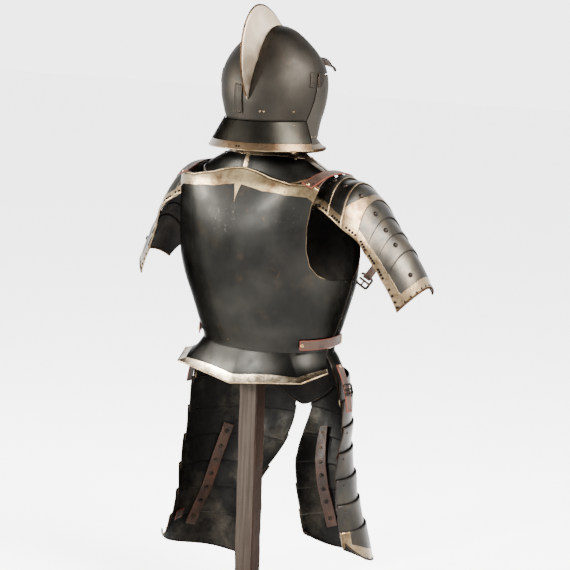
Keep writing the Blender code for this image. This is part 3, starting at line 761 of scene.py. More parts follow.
def neck_border(s, t, to_s0, to_s1, to_t0, to_t1):
    """The neck's border: deeper at the middle, with a narrow spike that runs down from it."""
    across = abs(2 * s - 1)
    depth = NECK_BORDER + 0.012 * bump(across, 0.30) + 0.006 * across ** 2
    from_middle = abs(to_s0 - to_s1) / 2
    return depth + SPIKE_LENGTH * max(0.0, 1.0 - from_middle / SPIKE_HALF) ** 2.2 - to_t1


back_shape = flip(back_plate)
plate("back_plate_shell", back_shape, 224, 130, BODY_WALL, (0.0, 0.0, FLANGE_BORDER, 0.0),
      neck_border, BACK, node="back_plate")
bead("back_neck_bead", back_shape, "t1", 0.0020, wall=BODY_WALL)
bead("back_flange_bead", back_shape, "t0", 0.0018, wall=BODY_WALL, steps=112)
for side in ("s0", "s1"):
    bead("back_armhole_bead_" + side, back_shape, side, 0.0009, wall=BODY_WALL, start=0.62)
rivets("back_rivet", spots(back_shape, (0.455, 0.225)), 0.0030, IRON)
print("neck border", [round(1000 * neck_border(s, 1, 1, 0, 0, 0)) for s in (0.0, 0.5, 1.0)], "mm deep")

# %% [markdown]
# ## The breast plate and the fauld
#
# The breast plate mirrors the back in front, with a keel that turns a blade aside. The fauld
# hangs from its waist and carries the tassets. Its upper flange is tucked inside the breast's
# foot, so that no light comes through between them. Neither shows its face from behind, but a
# plate has two sides, and the viewer may walk round.

# %% Breast plate and fauld
BREAST_EDGE = (
    # z, angle
    (0.560, 91.0), (0.600, 84.2), (0.640, 82.2), (0.699, 82.2), (0.710, 79.0), (0.725, 70.0),
    (0.760, 56.0), (0.800, 48.0), (0.840, 45.0), (0.885, 44.0),
)
BREAST_NECK = ((0.0, 0.842), (0.35, 0.848), (0.7, 0.866), (1.0, 0.884))    # across, z
BREAST_FOOT = WAIST + 0.002
SKIRT_SIDE = 90.0
FAULD_LOW, FAULD_RISE = 0.407, 0.050
BREAST_BORDER = 0.016


def breast_plate(s, t):
    """Breast plate with its keel, from the waist up to the neck."""
    side = 2 * s - 1
    z = BREAST_FOOT + (table(BREAST_NECK, abs(side)) - BREAST_FOOT) * t
    return torso(180 + side * table(BREAST_EDGE, z), z)


def fauld(s, t):
    """Fauld plate: it hangs from the breast's waist, longest between the tassets."""
    side = 2 * s - 1
    foot = FAULD_LOW + FAULD_RISE * min(1.0, abs(side) / 0.30) ** 1.4
    return skirt(SKIRT_SIDE * side, SKIRT[0][0] + (foot - SKIRT[0][0]) * (1 - t))


def waist_flange(s, t):
    """The fauld's upper flange, tucked inside the breast's waist."""
    side = SKIRT_SIDE * (2 * s - 1)
    return skirt(side, 0.542, -0.0045).lerp(torso(180 - side, 0.574, -0.0055), t)


breast_shape = flip(breast_plate)
plate("breast_plate_shell", breast_shape, 110, 90, BODY_WALL, (0.0, 0.0, 0.010, BREAST_BORDER),
      node="breast_plate")
bead("breast_neck_bead", breast_shape, "t1", 0.0024, wall=BODY_WALL)
for side in ("s0", "s1"):
    bead("breast_armhole_bead_" + side, breast_shape, side, 0.0017, BROWNED, wall=BODY_WALL, start=0.44)
plate("fauld_shell", fauld, 110, 30, WALL, (0.0, 0.0, 0.012, 0.0), node="fauld")
plate("waist_flange_shell", waist_flange, 90, 8, 0.0012)
bead("fauld_bead", fauld, "t0", 0.0016, IRON)
studs = spots(breast_shape, *((s, t) for s in (0.022, 0.978) for t in (0.62, 0.64, 0.70, 0.72, 0.80, 0.82)))
rivets("breast_lining_studs", from_inside(studs, BODY_WALL), 0.0014, WHITE)
print("fauld hangs to", FAULD_LOW, "m")

# %% [markdown]
# ## The gorget
#
# The gorget is a collar in two halves that rests on the shoulders and guards the throat. Its
# plates rise in a soft ridge front and back, and end in a standing collar with a turned edge.

# %% Gorget
GORGET = (
    # z at the sides, half_width, then z at the centre and reach: of the back, of the front
    (0.900, 0.141, 0.862, 0.058, 0.800, 0.128),
    (0.910, 0.126, 0.890, 0.050, 0.845, 0.118),
    (0.922, 0.103, 0.918, 0.042, 0.890, 0.104),
    (0.934, 0.080, 0.933, 0.035, 0.920, 0.090),
    (0.947, 0.072, 0.947, 0.032, 0.947, 0.084),
)
GORGET_Y, GORGET_SIDE = -0.030, 88.6
RIDGE_STRIP = 0.0048


def gorget(way):
    """One gorget plate; `way` is 1 for the back and -1 for the front."""
    def surface(s, t):
        turn = radians((2 * s - 1) * GORGET_SIDE)
        side_z, half, *centre = smooth_row(GORGET, t * (len(GORGET) - 1))
        centre_z, reach = centre[:2] if way > 0 else centre[2:]
        z = centre_z + (side_z - centre_z) * abs(sin(turn)) ** 1.6
        depth = reach - way * GORGET_Y + 0.003 * bump(sin(turn), 0.10)
        return Vector((half * sin(turn), GORGET_Y + way * depth * cos(turn), z))
    return surface


def ridge_strip(s, t, to_s0, to_s1, to_t0, to_t1):
    """A bright strip down the ridge, and a collar border that deepens towards the sides."""
    return max(RIDGE_STRIP - abs(to_s0 - to_s1) / 2, 0.012 + 0.022 * (2 * s - 1) ** 2 - to_t1)


gorget_back, gorget_front = flip(gorget(1)), gorget(-1)
for word, shape in (("back", gorget_back), ("front", gorget_front)):
    plate("gorget_%s_shell" % word, shape, 120, 40, WALL, (0.012, 0.012, 0.003, 0.016), ridge_strip,
          node="gorget_" + word)
    bead("gorget_%s_collar_bead" % word, shape, "t1", 0.0024)
studs = spots(gorget_back, (0.5, 0.18), (0.5, 0.34), (0.14, 0.62), (0.86, 0.62))
studs += spots(gorget_front, (0.10, 0.62), (0.90, 0.62), (0.12, 0.86), (0.88, 0.86))
rivets("gorget_studs", studs, 0.0032, WHITE)
print("gorget opening", round(2000 * GORGET[-1][1]), "mm wide")

# %% [markdown]
# ## The pauldrons
#
# Seven narrow lames follow each arm from the neck to the elbow. Each upper lame lies over the one
# below, and all hang on leathers inside, so the arm can bend. Each lame's form is a stretch of
# one long form of the arm, set a little further in at its upper edge, where the lame above covers
# it. The rear border is bright, with a row of lining holes, and the third lame, the widest, has a
# bright band that leaves a black leaf.

# %% Arm form
PAULDRON_LAMES, PAULDRON_LAP, LAME_STEP = 7, 0.26, 0.0040
ELBOW_RISE = 0.10
ARM = (
    # x, y, z of the arc's centre, tilt (degrees), out, fore_aft, rear, front (angles)
    (0.099, -0.045, 0.782, 67.5, 0.125, 0.094, -55.0, 40.0),
    (0.195, -0.048, 0.748, 99.5, 0.151, 0.104, -55.0, 55.0),
    (0.220, -0.052, 0.737, 98.5, 0.154, 0.099, -60.0, 60.0),
    (0.237, -0.060, 0.732, 93.5, 0.128, 0.086, -63.0, 64.0),
    (0.244, -0.066, 0.714, 86.5, 0.114, 0.080, -64.0, 65.0),
    (0.255, -0.071, 0.692, 81.5, 0.110, 0.076, -64.0, 66.0),
    (0.264, -0.076, 0.665, 73.5, 0.110, 0.073, -64.0, 60.0),
    (0.278, -0.084, 0.633, 49.5, 0.085, 0.069, -64.0, 44.0),
)


def arm_form(s, row, out=0.0):
    """A point on the left arm; s runs from the rear edge to the front edge."""
    last = max(0.0, row - (PAULDRON_LAMES - 1))
    row -= ELBOW_RISE * last * min(1.0, s / 0.55) ** 1.3
    x, y, z, tilt, wide, deep, rear, front = smooth_row(ARM, row)
    turn, lift = radians(rear + (front - rear) * s), radians(tilt)
    outward, forward = Vector((cos(lift), 0.0, sin(lift))), Vector((0.0, -1.0, 0.0))
    across = outward * (wide + out) * cos(turn) + forward * (deep + out) * sin(turn)
    return Vector((x, y, z)) + across


def pauldron_lame(index):
    """One lame of the left pauldron: its upper edge lies under the lame before it."""
    lap = PAULDRON_LAP if index else 0.0
    return lambda s, t: arm_form(s, index - lap + (1 + lap) * (1 - t), -LAME_STEP * t)


print("arm", round(1000 * (arm_form(1, 5) - arm_form(0, 5)).length), "mm from edge to edge")

# %% Pauldrons
ARM_BORDER, LAME_LINE = 0.021, 0.0012
LEAF_LAME, LEAF_BORDER, LEAF_SPREAD = 2, 0.012, 0.052
PAULDRON_RIVETS = {"left": 0.66, "right": 0.34}     # share across the lame


def leaf(s, t, to_s0, to_s1, to_t0, to_t1):
    """Bright round a black leaf: the band widens towards the lame's two ends."""
    spread = max(0.0, abs(2 * s - 1) - 0.10) / 0.90
    return LEAF_BORDER + LEAF_SPREAD * spread ** 1.5 - to_t0


for word, twin in SIDES:
    studs, lining = [], []
    for index in range(PAULDRON_LAMES):
        shape = twin(flip(pauldron_lame(index)))
        upper, last = index < LEAF_LAME, index == PAULDRON_LAMES - 1
        low = ARM_BORDER if last else LAME_LINE if upper else 0.0
        name = "pauldron_lame_%d_%s" % (index + 1, word)
        # The lames below the leaf take the worn steel, whose paler black is partly a painted highlight.
        plate(name + "_shell", shape, 72, 18, WALL, (ARM_BORDER, ARM_BORDER, low, 0.0),
              leaf if index == LEAF_LAME else None, GREYED if index <= LEAF_LAME else WORN_AND_HIGHLIT, node=name)
        if upper:
            bead(name + "_line", shape, "t0", 0.0011, steps=40)
        studs += spots(shape, (PAULDRON_RIVETS[word], 0.42))
        lining += spots(shape, *((s, 0.12 + 0.15 * step) for step in range(4) for s in (0.028, 0.972)))
    bead("pauldron_elbow_bead_" + word, shape, "t0", 0.0022, BROWNED)
    rivets("pauldron_rivets_" + word, studs, 0.0050, IRON, high=0.7)
    elbow = spots(shape, *((0.05 + 0.10 * step, 0.07) for step in range(10)))
    rivets("pauldron_elbow_rivets_" + word, elbow, 0.0024, IRON)
    holes("pauldron_lining_holes_" + word, lining, 0.0029)
print("pauldrons:", 2 * PAULDRON_LAMES, "lames")

# %% [markdown]
# ## The tassets
#
# Seven lames hang in front of each thigh. Here the lower lame lies over the upper one, because a
# thigh lifts them from below. From behind we see their dark inner side and the leathers that
# carry them.

# %% Thigh form
THIGH = (
    # z, centre_x, centre_y, radius, inner, outer (angles from straight out, through the front)
    (0.505, 0.062, -0.040, 0.122, 118.0, -18.0),
    (0.455, 0.068, -0.042, 0.118, 120.0, -20.0),
    (0.405, 0.077, -0.044, 0.110, 124.0, -20.0),
    (0.356, 0.091, -0.046, 0.103, 132.0, -21.0),
    (0.306, 0.110, -0.054, 0.090, 146.0, -25.0),
    (0.257, 0.126, -0.058, 0.083, 157.0, -31.0),
    (0.207, 0.144, -0.059, 0.083, 163.0, -36.0),
    (0.143, 0.161, -0.061, 0.086, 166.0, -41.0),
)
TASSET_LAMES, TASSET_LAP, TASSET_STEP = 7, 0.22, 0.0056
TASSET_LIFT, TASSET_LEAN = 0.045, 0.013
TASSET_NEAR, TASSET_FAR = 6.0, 91.0


def thigh_form(s, row, out=0.0, drop=0.0):
    """A point round the left thigh; s runs from the inner edge to the outer edge."""
    z, x, y, radius, inner, outer = smooth_row(THIGH, row)
    turn = radians(inner + (outer - inner) * s)
    last = max(0.0, row - (TASSET_LAMES - 1))
    round_thigh = Vector((x + (radius + out) * cos(turn), y - (radius + out) * sin(turn), z))
    on_skirt = skirt(TASSET_NEAR + (TASSET_FAR - TASSET_NEAR) * s, z, WALL + TASSET_STEP + 2 * GAP + out)
    share = min(1.0, max(0.0, (row - 1.8) / 2.4))
    point = on_skirt.lerp(round_thigh, share * share * (3 - 2 * share))
    side = 2 * s - 1
    point.z += last * (TASSET_LIFT * last * abs(side) ** 3 + TASSET_LEAN * side) - drop * row / TASSET_LAMES
    return point


def tasset_lame(index, drop):
    """One lame of the left tasset: its upper edge lies over the lame before it."""
    lap = TASSET_LAP if index else 0.0
    return lambda s, t: thigh_form(s, index - lap + (1 + lap) * (1 - t), -TASSET_STEP * (1 - t), drop)


print("knee", round(1000 * (thigh_form(1, 7) - thigh_form(0, 7)).length), "mm from edge to edge")

# %% Tassets
TASSET_BORDER = 0.022
LEFT_DROP = 0.066                                   # the left tasset hangs lower
DROPS, OUTER_EDGE = {"left": LEFT_DROP, "right": 0.0}, {"left": 0.985, "right": 0.015}

for word, twin in SIDES:
    studs, outer = [], OUTER_EDGE[word]
    for index in range(TASSET_LAMES):
        shape = twin(tasset_lame(index, DROPS[word]))
        last = index == TASSET_LAMES - 1
        name = "tasset_lame_%d_%s" % (index + 1, word)
        plate(name + "_shell", shape, 72, 18, WALL, (TASSET_BORDER,) * 3 + (0.0,) if last else NO_BORDER,
              None, GREYED, TASSET_INSIDE, node=name)
        if not last:
            studs += spots(shape, (outer + (0.5 - outer) * 0.12, 0.80), (0.5, 0.62))
    bead("tasset_knee_bead_" + word, shape, "t0", 0.0020, IRON)
    studs += spots(shape, *((0.03 + 0.94 * step / 11, 0.09) for step in range(12)))
    studs += spots(shape, *((outer + (0.5 - outer) * 0.03, t) for t in (0.35, 0.60)))
    rivets("tasset_rivets_" + word, studs, 0.0023, IRON)
studs = spots(tasset_lame(0, LEFT_DROP), (0.86, 0.62), (0.80, 0.60), (0.62, 0.40), (0.585, 0.38),
              (0.47, 0.33), (0.44, 0.32))
rivets("tasset_lining_studs", from_inside(studs, WALL), 0.0016, WHITE)
print("tassets:", 2 * TASSET_LAMES, "lames")

# %% [markdown]
# ## The helmet's form
#
# The burgonet is a light open helmet. Its bowl, cheekpieces and peak follow one head form, which
# is turned a little to the wearer's left. We keep the form in the helmet's own frame, where it is
# symmetric, and turn every point into place at the end.

# %% Head form
HELMET_SEAT, HELMET_TURN = (0.0, -0.045, 0.0), 8.0
HEAD_PLACE = Matrix.Translation(HELMET_SEAT) @ Matrix.Rotation(radians(HELMET_TURN), 4, "Z")
HEAD = (
    # z, half_width, back, front
    (0.958, 0.081, 0.102, 0.092),
    (0.992, 0.087, 0.108, 0.100),
    (1.012, 0.093, 0.112, 0.104),
    (1.040, 0.100, 0.114, 0.101),
    (1.070, 0.102, 0.109, 0.095),
    (1.098, 0.097, 0.098, 0.080),
    (1.124, 0.082, 0.084, 0.056),
    (1.146, 0.061, 0.067, 0.037),
    (1.162, 0.040, 0.046, 0.026),
    (1.170, 0.021, 0.024, 0.013),
    (1.172, 0.006, 0.006, 0.004),
)
SKULL_ROW, BROW_ROW = 1.0, 4.5
CUT_LOW, CUT_TOP = (0.036, 0.992), (0.022, 1.098)  # y, z of the skull's straight front edge
SKULL_COLUMNS = ((0.0, 0.0), (7 / 18, 70.0), (10 / 18, 80.0), (1.0, 178.0))    # share, angle


def head_point(angle, row, out=0.0):
    """A point of the head form, in the helmet's frame; 0 degrees is the nape."""
    z, half, back, front = smooth_row(HEAD, row)
    turn = radians(angle)
    reach = back if cos(turn) > 0 else front
    return Vector(((half + out) * sin(turn), (reach + out) * cos(turn), z))


def cut_angle(row, ahead=0.0):
    """Angle at which this row meets the skull's straight front edge, or a line ahead of it."""
    z, _, back, front = smooth_row(HEAD, row)
    share = (z - CUT_LOW[1]) / (CUT_TOP[1] - CUT_LOW[1])
    y = CUT_LOW[0] + (CUT_TOP[0] - CUT_LOW[0]) * share - ahead
    return degrees(acos(y / (back if y > 0 else front)))


def seated(surface, twin=same):
    """A surface of the helmet, turned into its place on the armour, with its face out."""
    shape = twin(surface)
    return flip(lambda s, t: HEAD_PLACE @ shape(s, t))


CUT = [(cut_angle(SKULL_ROW + step / 4), SKULL_ROW + step / 4)
       for step in range(round(4 * (BROW_ROW - SKULL_ROW)) + 1)]
CUT_END = CUT[-1][0]


def skull(s, t):
    """Skull: its columns run from the foot, the front edge or the brow up to the crown."""
    side = 2 * s - 1
    angle = table(SKULL_COLUMNS, abs(side))
    foot = table(CUT, angle)
    if angle > CUT_END:
        foot = BROW_ROW + 0.95 * ((angle - CUT_END) / (180.0 - CUT_END)) ** 2
    return head_point(copysign(angle, side), foot + (len(HEAD) - 1 - foot) * t)


print("bowl", round(2000 * HEAD[4][1]), "mm wide")

# %% [markdown]
# ## Skull and neck guard
#
# The bowl is one piece of steel, raised from a flat disc with a hammer. Its front edge is cut
# straight, where the cheekpieces close against it, and a flared guard is riveted round the nape
# with a bright border and a turned rim.

# %% Skull and neck guard
NECK_FLARE = (0.122, 0.137, 0.945)      # half width, reach behind, z
NECK_RIM_BORDER = 0.0145


def neck_guard(s, t):
    """Neck guard: it flares from the skull's foot over the nape."""
    angle = (2 * s - 1) * (66.0 + 4.0 * t)
    half, back, z = NECK_FLARE
    edge = Vector((half * sin(radians(angle)), back * cos(radians(angle)), z))
    return edge.lerp(head_point(angle, SKULL_ROW + 0.25, WALL + GAP + 0.0012), t ** 1.15)


skull_shape, guard_shape = seated(skull), seated(neck_guard)
plate("skull_shell", skull_shape, 144, 70, BODY_WALL, outer=SKULL_STEEL, node="helmet_skull")
plate("neck_guard_shell", guard_shape, 90, 30, WALL, (0.0, 0.0, NECK_RIM_BORDER, 0.0), outer=GUARD_STEEL,
      node="neck_guard")
bead("neck_guard_bead", guard_shape, "t0", 0.0013)
holes("guard_holes", spots(guard_shape, (0.462, 0.14), (0.482, 0.14)), 0.0023)
rivets("skull_rivets", spots(skull_shape, (0.540, 0.125), (0.552, 0.125), (0.644, 0.125))
       + spots(guard_shape, (0.12, 0.88), (0.88, 0.88)), 0.0019, WHITE)
print("neck guard", round(2000 * NECK_FLARE[0]), "mm across")

# %% [markdown]
# ## The comb and its socket
#
# The tall comb stiffens the bowl and is the trooper's pride. On the real helmet it is drawn up
# from the bowl's own metal in two halves. We fold one bright wall over the crown, with the
# hollow between its sides, and run a brown turned edge along its top. Beside it sits the narrow
# socket for a plume.

# %% Comb and plume socket
COMB = (
    # angle from the nape up over the head, distance from COMB_HEART
    (-16.0, 0.1215), (0.0, 0.137), (15.0, 0.151), (29.0, 0.164), (42.0, 0.171), (54.0, 0.168),
    (65.0, 0.154), (78.0, 0.131), (94.0, 0.1075), (112.0, 0.0960), (126.0, 0.0860),
)
COMB_HEART, COMB_HALF, COMB_EDGE = 1.070, 0.0075, 0.0022
SKULL_REACH = []                # the skull's middle line: angle, distance from COMB_HEART
for z, _, back, front in (smooth_row(HEAD, step / 8) for step in range(8 * (len(HEAD) - 1) + 1)):
    SKULL_REACH += [(degrees(atan2(z - COMB_HEART, y)), hypot(y, z - COMB_HEART)) for y in (back, -front)]
SKULL_REACH.sort()


def comb(s, t):
    """Comb: a folded wall that stands on the skull; t runs over its edge from side to side."""
    angle, top = smooth_row(COMB, s * (len(COMB) - 1))
    side = 2 * t - 1
    low, share = table(SKULL_REACH, angle) + 0.0004, abs(side)
    top = max(low + 0.002, top)
    reach = top + (low - top) * share
    taper = min(1.0, 0.12 + 3.5 * s)
    half = taper * (COMB_EDGE * min(1.0, share / 0.06) + (COMB_HALF - COMB_EDGE) * share ** 1.6)
    turn = radians(angle)
    return HEAD_PLACE @ Vector((copysign(half, side), reach * cos(turn), COMB_HEART + reach * sin(turn)))


def plume_holder(s, t):
    """Plume holder: a narrow pocket on the skull beside the comb."""
    return head_point(6.8 + 10.5 * s, 1.95 + 1.85 * t, 0.0048 - 0.0026 * abs(2 * s - 1))


plate("comb_shell", comb, 120, 40, 0.0012, outer=COMB_STEEL, slot="white_steel", node="helmet_comb")
wire("comb_edge_bead", [comb(step / 100, 0.5) for step in range(3, 101)], 0.0017, BROWNED)
holder = seated(plume_holder)
plate("plume_holder_shell", holder, 20, 30, 0.0012, outer=SKULL_STEEL, node="plume_holder")
rivets("plume_holder_rivets", spots(holder, (0.2, 0.05), (0.8, 0.05)), 0.0020, IRON)
print("comb stands", round(1000 * (COMB[4][1] - HEAD[-1][0] + COMB_HEART)), "mm over the crown")

# %% [markdown]
# ## The cheekpieces and the lining
#
# Each cheekpiece hangs on a hinge at the temple and swings out, so its shells ride on that body
# of the frame and not on the armour. Its foot flares like the neck guard, with the same bright
# border, and it leaves the face open. A band of leather inside the skull's front edge and brow is
# what is left of the quilted lining.

# %% Cheek and lining forms
CHEEK_ROW, CHIN_ROW, FACE_SHARE, FOOT_SHARE = 4.4, 2.7, 0.46, 0.14
CHEEK_FLARE, CHEEK_FOOT = 0.016, 0.941      # how far out the foot turns, and its height
DOOR_GAP, LEAF_HEIGHT = 0.0030, 0.0016
LINING_INSET = -0.0048


def cheek(s, t):
    """Left cheekpiece: s runs from the hinge edge to the face, t from the flared foot up."""
    face = min(1.0, max(0.0, (s - FACE_SHARE) / 0.12))
    top = CHEEK_ROW + (CHIN_ROW - CHEEK_ROW) * face
    row = max(0.0, (t - FOOT_SHARE) / (1 - FOOT_SHARE)) * top
    near = cut_angle(max(row, 0.05), DOOR_GAP)
    angle = near + (178.8 - near) * s
    point = head_point(angle, row)
    if t < FOOT_SHARE:
        foot = head_point(angle, row, CHEEK_FLARE)
        foot.z = CHEEK_FOOT
        point = point.lerp(foot, 1 - t / FOOT_SHARE)
    return point


def hinge_leaf(back_end, front_end):
    """A leaf of the left hinge, on the steel beside the skull's edge."""
    def surface(s, t):
        row = 3.70 + 0.95 * t
        ahead = back_end + (front_end - back_end) * s * (1 - 0.45 * abs(2 * t - 1))
        return head_point(cut_angle(row, ahead), row, LEAF_HEIGHT)
    return surface


def lining_edge(s, t):
    """The band of lining inside the skull's front edge."""
    row = 1.10 + 3.60 * t
    return head_point(cut_angle(row, -0.012 + 0.022 * s), row, LINING_INSET)


def lining_brow(s, t):
    """The band of lining inside the brow."""
    near = CUT_END - 8.0
    return head_point(near + (180.0 - near) * s, 4.10 + 1.15 * t, LINING_INSET)


print("cheek", round(1000 * (cheek(0, 1) - cheek(0, 0)).length), "mm tall at its hinge")

# %% Cheekpieces
LINING_WALL = 0.0015


def hide(name, surface, across, along, wall, leather=INNER_LEATHER, **linked):
    """A plate of leather, the same on both sides."""
    return plate(name, surface, across, along, wall, outer=leather, inner=leather, slot="leather", **linked)


for word, twin in SIDES:
    body, door = "cheek_" + word, seated(cheek, twin)
    plate("cheek_shell_" + word, door, 90, 70, BODY_WALL, (0, 0, 0.014, 0), outer=CHEEK_STEEL, body=body,
          node=body)
    for edge, side, radius in (("foot", "t0", 0.0030), ("face", "t1", 0.0014)):
        bead("cheek_%s_bead_%s" % (edge, word), door, side, radius, BROWNED, body, BODY_WALL)
    for kind, carrier, ends in (("leaf", body, (0.0042, 0.024)), ("plate", BODY, (-0.018, -0.002))):
        shape = seated(hinge_leaf(*ends), twin)
        plate("hinge_%s_shell_%s" % (kind, word), shape, 10, 16, 0.0011, outer=SKULL_STEEL, body=carrier,
              node="hinge_%s_%s" % (kind, word))
        pins = spots(shape, (0.5, 0.3), (0.5, 0.7))
        rivets("hinge_%s_rivets_%s" % (kind, word), pins, 0.0020, IRON, carrier)
    rivets("cheek_rivets_" + word, spots(door, *((s / 12, 0.19) for s in range(1, 12))), 0.0019, WHITE, body)
    for kind, form, across, along in (("edge", lining_edge, 8, 60), ("brow", lining_brow, 60, 8)):
        hide("helmet_lining_%s_%s" % (kind, word), seated(form, twin), across, along, LINING_WALL)

# %% [markdown]
# ## The peak
#
# The peak shades the eyes. Its edge is turned like the others, and its underside is browned steel.

# %% Peak
PEAK_HALF, PEAK_REACH, PEAK_SIDE = 0.098, 0.105, 66.0


def peak(s, t):
    """Peak over the brow: it reaches forward and turns down a little."""
    side = 2 * s - 1
    turn = radians(180 + side * PEAK_SIDE)
    root = head_point(180 + side * PEAK_SIDE, 5.6, GAP + 0.0030)
    edge = Vector((PEAK_HALF * sin(turn), -0.030 + PEAK_REACH * cos(turn), 1.099 - 0.010 * side ** 2))
    point = edge.lerp(root, t)
    point.z += 0.007 * sin(pi * t)
    return point


plate("peak_shell", seated(peak), 80, 20, outer=SKULL_STEEL, inner=BROWNED, node="helmet_peak")
bead("peak_bead", seated(peak), "t0", 0.0024, BROWNED, wall=-WALL)     # round the outside of the rim
print("peak", round(2000 * PEAK_HALF), "mm wide")

# %% [markdown]
# ## Straps
#
# A strap is a flat band that follows the plate under it. We give it stations, each a point and a way out,
# and draw a smooth band through them. Its edges are redder than its face, where the cutter left the leather
# raw, and a small bevel rounds them. A pad of the darker inner leather fills the space between each shoulder
# strap and the first lame.

# %% Ways to lay a strap
LEATHER_WALL = 0.0026
INNER_DEPTH, ARM_DEPTH = WALL + TASSET_STEP + GAP * 5, WALL + LAME_STEP + GAP * 12


def ribbon(stations, width):
    """A strap through stations of (point, way out); s runs across it and t along it."""
    points, outs = ([Vector(station[part]) for station in stations] for part in (0, 1))
    last = len(points) - 1

    def surface(s, t):
        place = t * last
        here, before, after = (Vector(smooth_row(points, at))
                               for at in (place, max(place - 0.05, 0), min(place + 0.05, last)))
        across = (after - before).cross(Vector(smooth_row(outs, place))).normalized()
        return here + across * width * (s - 0.5)
    return surface


def on_torso(angle, z, out, rise=0.0):
    """A station on the torso; its way out is level, or leans up by `rise`."""
    point = torso(angle, z, out)
    return point, Vector((point.x, point.y + 0.040, 0.0)).normalized() + Vector((0, 0, rise))


def under(form, s, row, depth, reach, *more):
    """A station some way under a form; it looks out to a point `reach` metres above it."""
    point = form(s, row, -depth, *more)
    return point, (form(s, row, reach - depth, *more) - point).normalized()


def inner_leather(drop, top, foot):
    """The leather that carries the lames, riveted inside the tasset."""
    stations = [under(thigh_form, top + (foot - top) * step / 6, 2.6 + 0.62 * step, INNER_DEPTH, 0.01, drop)
                for step in range(7)]
    return ribbon(stations, 0.022)


def arm_strap():
    """The loose strap inside the right pauldron, written for the left side."""
    stations = [under(arm_form, s, row, ARM_DEPTH, ARM_DEPTH)
                for row, s in ((4.0, 0.14), (4.35, 0.07), (4.75, 0.02))]
    stations.append((stations[-1][0] + Vector((-0.012, 0.012, -0.026)), (0.5, 0.8, 0.2)))
    return ribbon(stations, 0.015)


print("a strap lies on the back at", [round(value, 3) for value in on_torso(0.0, 0.7, 0.0)[0]])

# %% Strap forms
SHOULDER = (
    # x, y, z, and the way out
    (0.143, 0.053, 0.8870, 0.25, 0.80, 0.75), (0.146, 0.036, 0.8930, 0.20, 0.55, 0.95),
    (0.148, 0.006, 0.9025, 0.15, 0.25, 1.0), (0.149, -0.030, 0.9065, 0.15, 0.0, 1.0),
    (0.147, -0.064, 0.9040, 0.15, -0.2, 1.0), (0.143, -0.094, 0.8950, 0.25, -0.6, 0.9),
)
over_form = ribbon([(row[:3], row[3:]) for row in SHOULDER]
                   + [on_torso(140.0, 0.878, 0.0095, 0.2), on_torso(142.0, 0.856, 0.0095, 0.2)], 0.024)
waist_form = ribbon([on_torso(53.0 + 9.5 * step, 0.5765, LEATHER_WALL + 0.0040) for step in range(7)], 0.019)
hip_form = ribbon([(skirt(88.0, z, WALL + TASSET_STEP * 2 + GAP * 4 + LEATHER_WALL), (1.0, 0.02, 0.0))
                   for z in (0.535, 0.515, 0.490, 0.465, 0.447)], 0.018)
PAD_WALL, PAD_DROP = 0.0018, 0.018


def shoulder_pad(s, t):
    """The leather pad between a shoulder strap and the first lame; its two ends turn down."""
    point, out = spot(over_form, 0.08 + 0.84 * t, 0.16 + 0.46 * s)
    point -= out * (LEATHER_WALL + 0.0006)
    point.z -= PAD_DROP * (1.0 - sin(pi * s) ** 0.4)
    return point


print("waist strap", round(1000 * (waist_form(0.5, 1) - waist_form(0.5, 0)).length), "mm from end to end")

# %% Straps
STRAP_ENDS = ((0.5, 0.05), (0.5, 0.95))
LEATHER_ENDS = {"left": (0.54, 0.68), "right": (0.19, 0.24)}    # share across the tasset, top and foot


def strap(node, surface, along=60, wall=LEATHER_WALL, leather=LEATHER, side=""):
    """One leather band, in place of the frame's plain one."""
    piece = hide(node + "_shell" + side, surface, 10, along, wall, leather, node=node + side)
    edge = piece.modifiers.new("worn edge", "BEVEL")
    edge.width, edge.segments, edge.limit_method, edge.angle_limit = 0.0007, 2, "ANGLE", radians(50)


for word, twin in SIDES:
    over, waist, hip = twin(over_form), twin(waist_form), twin(hip_form)
    inner = twin(inner_leather(DROPS[word], *LEATHER_ENDS[word]))
    strap("shoulder_strap", over, 90, side="_" + word)
    strap("waist_strap", waist, side="_" + word)
    strap("hip_strap", hip, 30, side="_" + word)
    strap("inner_leather", inner, leather=INNER_LEATHER, side="_" + word)
    studs = spots(over, *STRAP_ENDS) + spots(waist, *STRAP_ENDS) + spots(hip, (0.5, 0.06))
    rivets("strap_rivets_" + word, studs, 0.0038, BRASS)
    studs = from_inside(spots(inner, *((0.5, 0.08 + 0.14 * step) for step in range(7))), LEATHER_WALL)
    rivets("inner_leather_rivets_" + word, studs, 0.0030, IRON, washer=0.0052)
    hide("shoulder_pad_" + word, twin(shoulder_pad), 32, 8, PAD_WALL)
    holes("strap_holes_" + word, spots(over, (0.25, 0.115), (0.75, 0.115)), 0.0012)
arm_band = mirrored(arm_strap())
strap("arm_strap", arm_band, 24, 0.0020, INNER_LEATHER)
hide("tasset_patch", lambda s, t: thigh_form(0.80 + 0.12 * s, 5.70 + 0.33 * t, -0.0125, LEFT_DROP), 12, 6,
     0.0015, LEATHER)
print("leather pieces:", [piece.name for piece in bpy.data.objects if "strap_shell" in piece.name])

# %% [markdown]
# ## The buckles
#
# The arm's strap and the hip straps end in plain iron buckles: a bent frame, a bar for the strap
# and a tongue that lies on the frame. Each is three bent wires, so three beads make it.

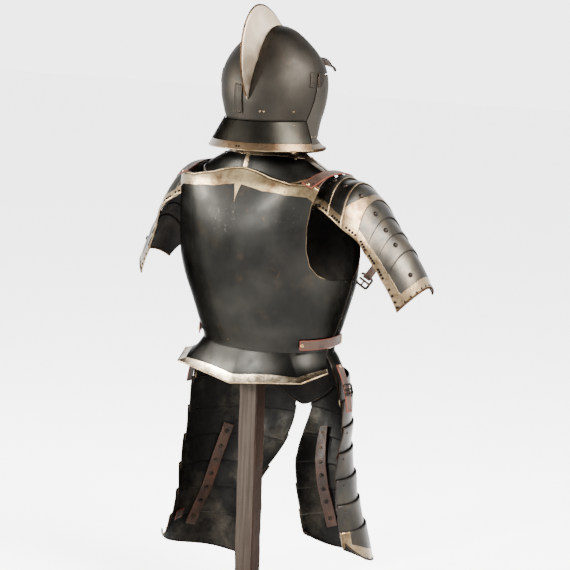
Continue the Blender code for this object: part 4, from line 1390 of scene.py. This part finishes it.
# %% Buckles
def buckle(name, point, out, along, wide, tall, thick):
    """An iron buckle flat on a strap; along is the way that the strap runs."""
    ahead = (along - out * along.dot(out)).normalized()
    side, corner = ahead.cross(out), min(wide, tall) * 0.18

    def bend(size, share):
        return copysign(max(size / 2 - corner, 0), round(share, 6)) + corner * share

    loop = [point + side * bend(wide, cos(radians(turn))) + ahead * bend(tall, sin(radians(turn)))
            for turn in range(0, 361, 15)]
    wire(name + "_frame", loop, thick, IRON)
    wire(name + "_bar", [point - side * wide / 2, point + side * wide / 2], thick * 0.9, IRON)
    wire(name + "_tongue", [point, point + ahead * tall * 0.28 + out * thick * 1.4,
                            point + ahead * tall * 0.52 + out * thick], thick * 0.7, IRON)


end, out = spot(arm_band, 0.5, 0.97)
along = end - arm_band(0.5, 0.80)
buckle("arm_buckle", end + along.normalized() * 0.006 + out * 0.001, out, along, 0.023, 0.021, 0.0024)
for word, twin in SIDES:
    band = twin(hip_form)
    middle, out = spot(band, 0.5, 0.50)
    along = band(0.5, 1) - band(0.5, 0)
    buckle("hip_buckle_" + word, middle + out * 0.0024, out, along, 0.024, 0.019, 0.0021)

# %% [markdown]
# ## The post
#
# The post is a weathered board whose broad faces have greyed with weather. Its narrow faces are a darker
# brown, partly the wood's own colour and partly painted shade on the sides that turn from the light. We give
# it its own mesh, a tall box whose corners are worn round and whose edges wander a little, so that no line
# of it is ruler-straight.

# %% Post
BOARD_ROWS, BOARD_WORN, BOARD_WANDER = 60, 0.0025, 0.0006
BROAD_FACES = (1, 5)
low, high = (Vector(corner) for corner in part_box("stand_post"))
middle, half = (low + high) / 2, (high - low) / 2
outline = [(x * (half.x - BOARD_WORN * (1 - cut)), y * (half.y - BOARD_WORN * cut))
           for x, y in ((1, 1), (-1, 1), (-1, -1), (1, -1)) for cut in ((1, 0) if x == y else (0, 1))]
shape = bmesh.new()
rings = []
for row in range(BOARD_ROWS + 1):
    z = low.z + (high.z - low.z) * row / BOARD_ROWS
    rings.append([])
    for number, (x, y) in enumerate(outline):
        inset = 1.0 - BOARD_WANDER / half.y * (1 + sin(z * 37 + number * 2.1) * cos(z * 91 + number))
        rings[-1].append(shape.verts.new((middle.x + x * inset, middle.y + y * inset, z)))
for below, above in zip(rings, rings[1:]):
    for number in range(8):
        beside = (number + 1) % 8
        face = shape.faces.new((below[number], below[beside], above[beside], above[number]))
        # The narrow faces take the brown wood, which here is painted shade for the sides that turn from the
        # light as well as a darker wood.
        face.material_index = 0 if number in BROAD_FACES else 1
shape.faces.new(reversed(rings[0]))
shape.faces.new(rings[-1])
bmesh.ops.recalc_face_normals(shape, faces=shape.faces)
built("post_board", shape, (GREY_WOOD, BROWN_WOOD_AND_SHADE), None, slot="wood", node="stand_post")
print("post:", [round(1000 * side) for side in high - low], "mm")

# %% [markdown]
# ## Finish
#
# The dressed armour must be the size of the frame.
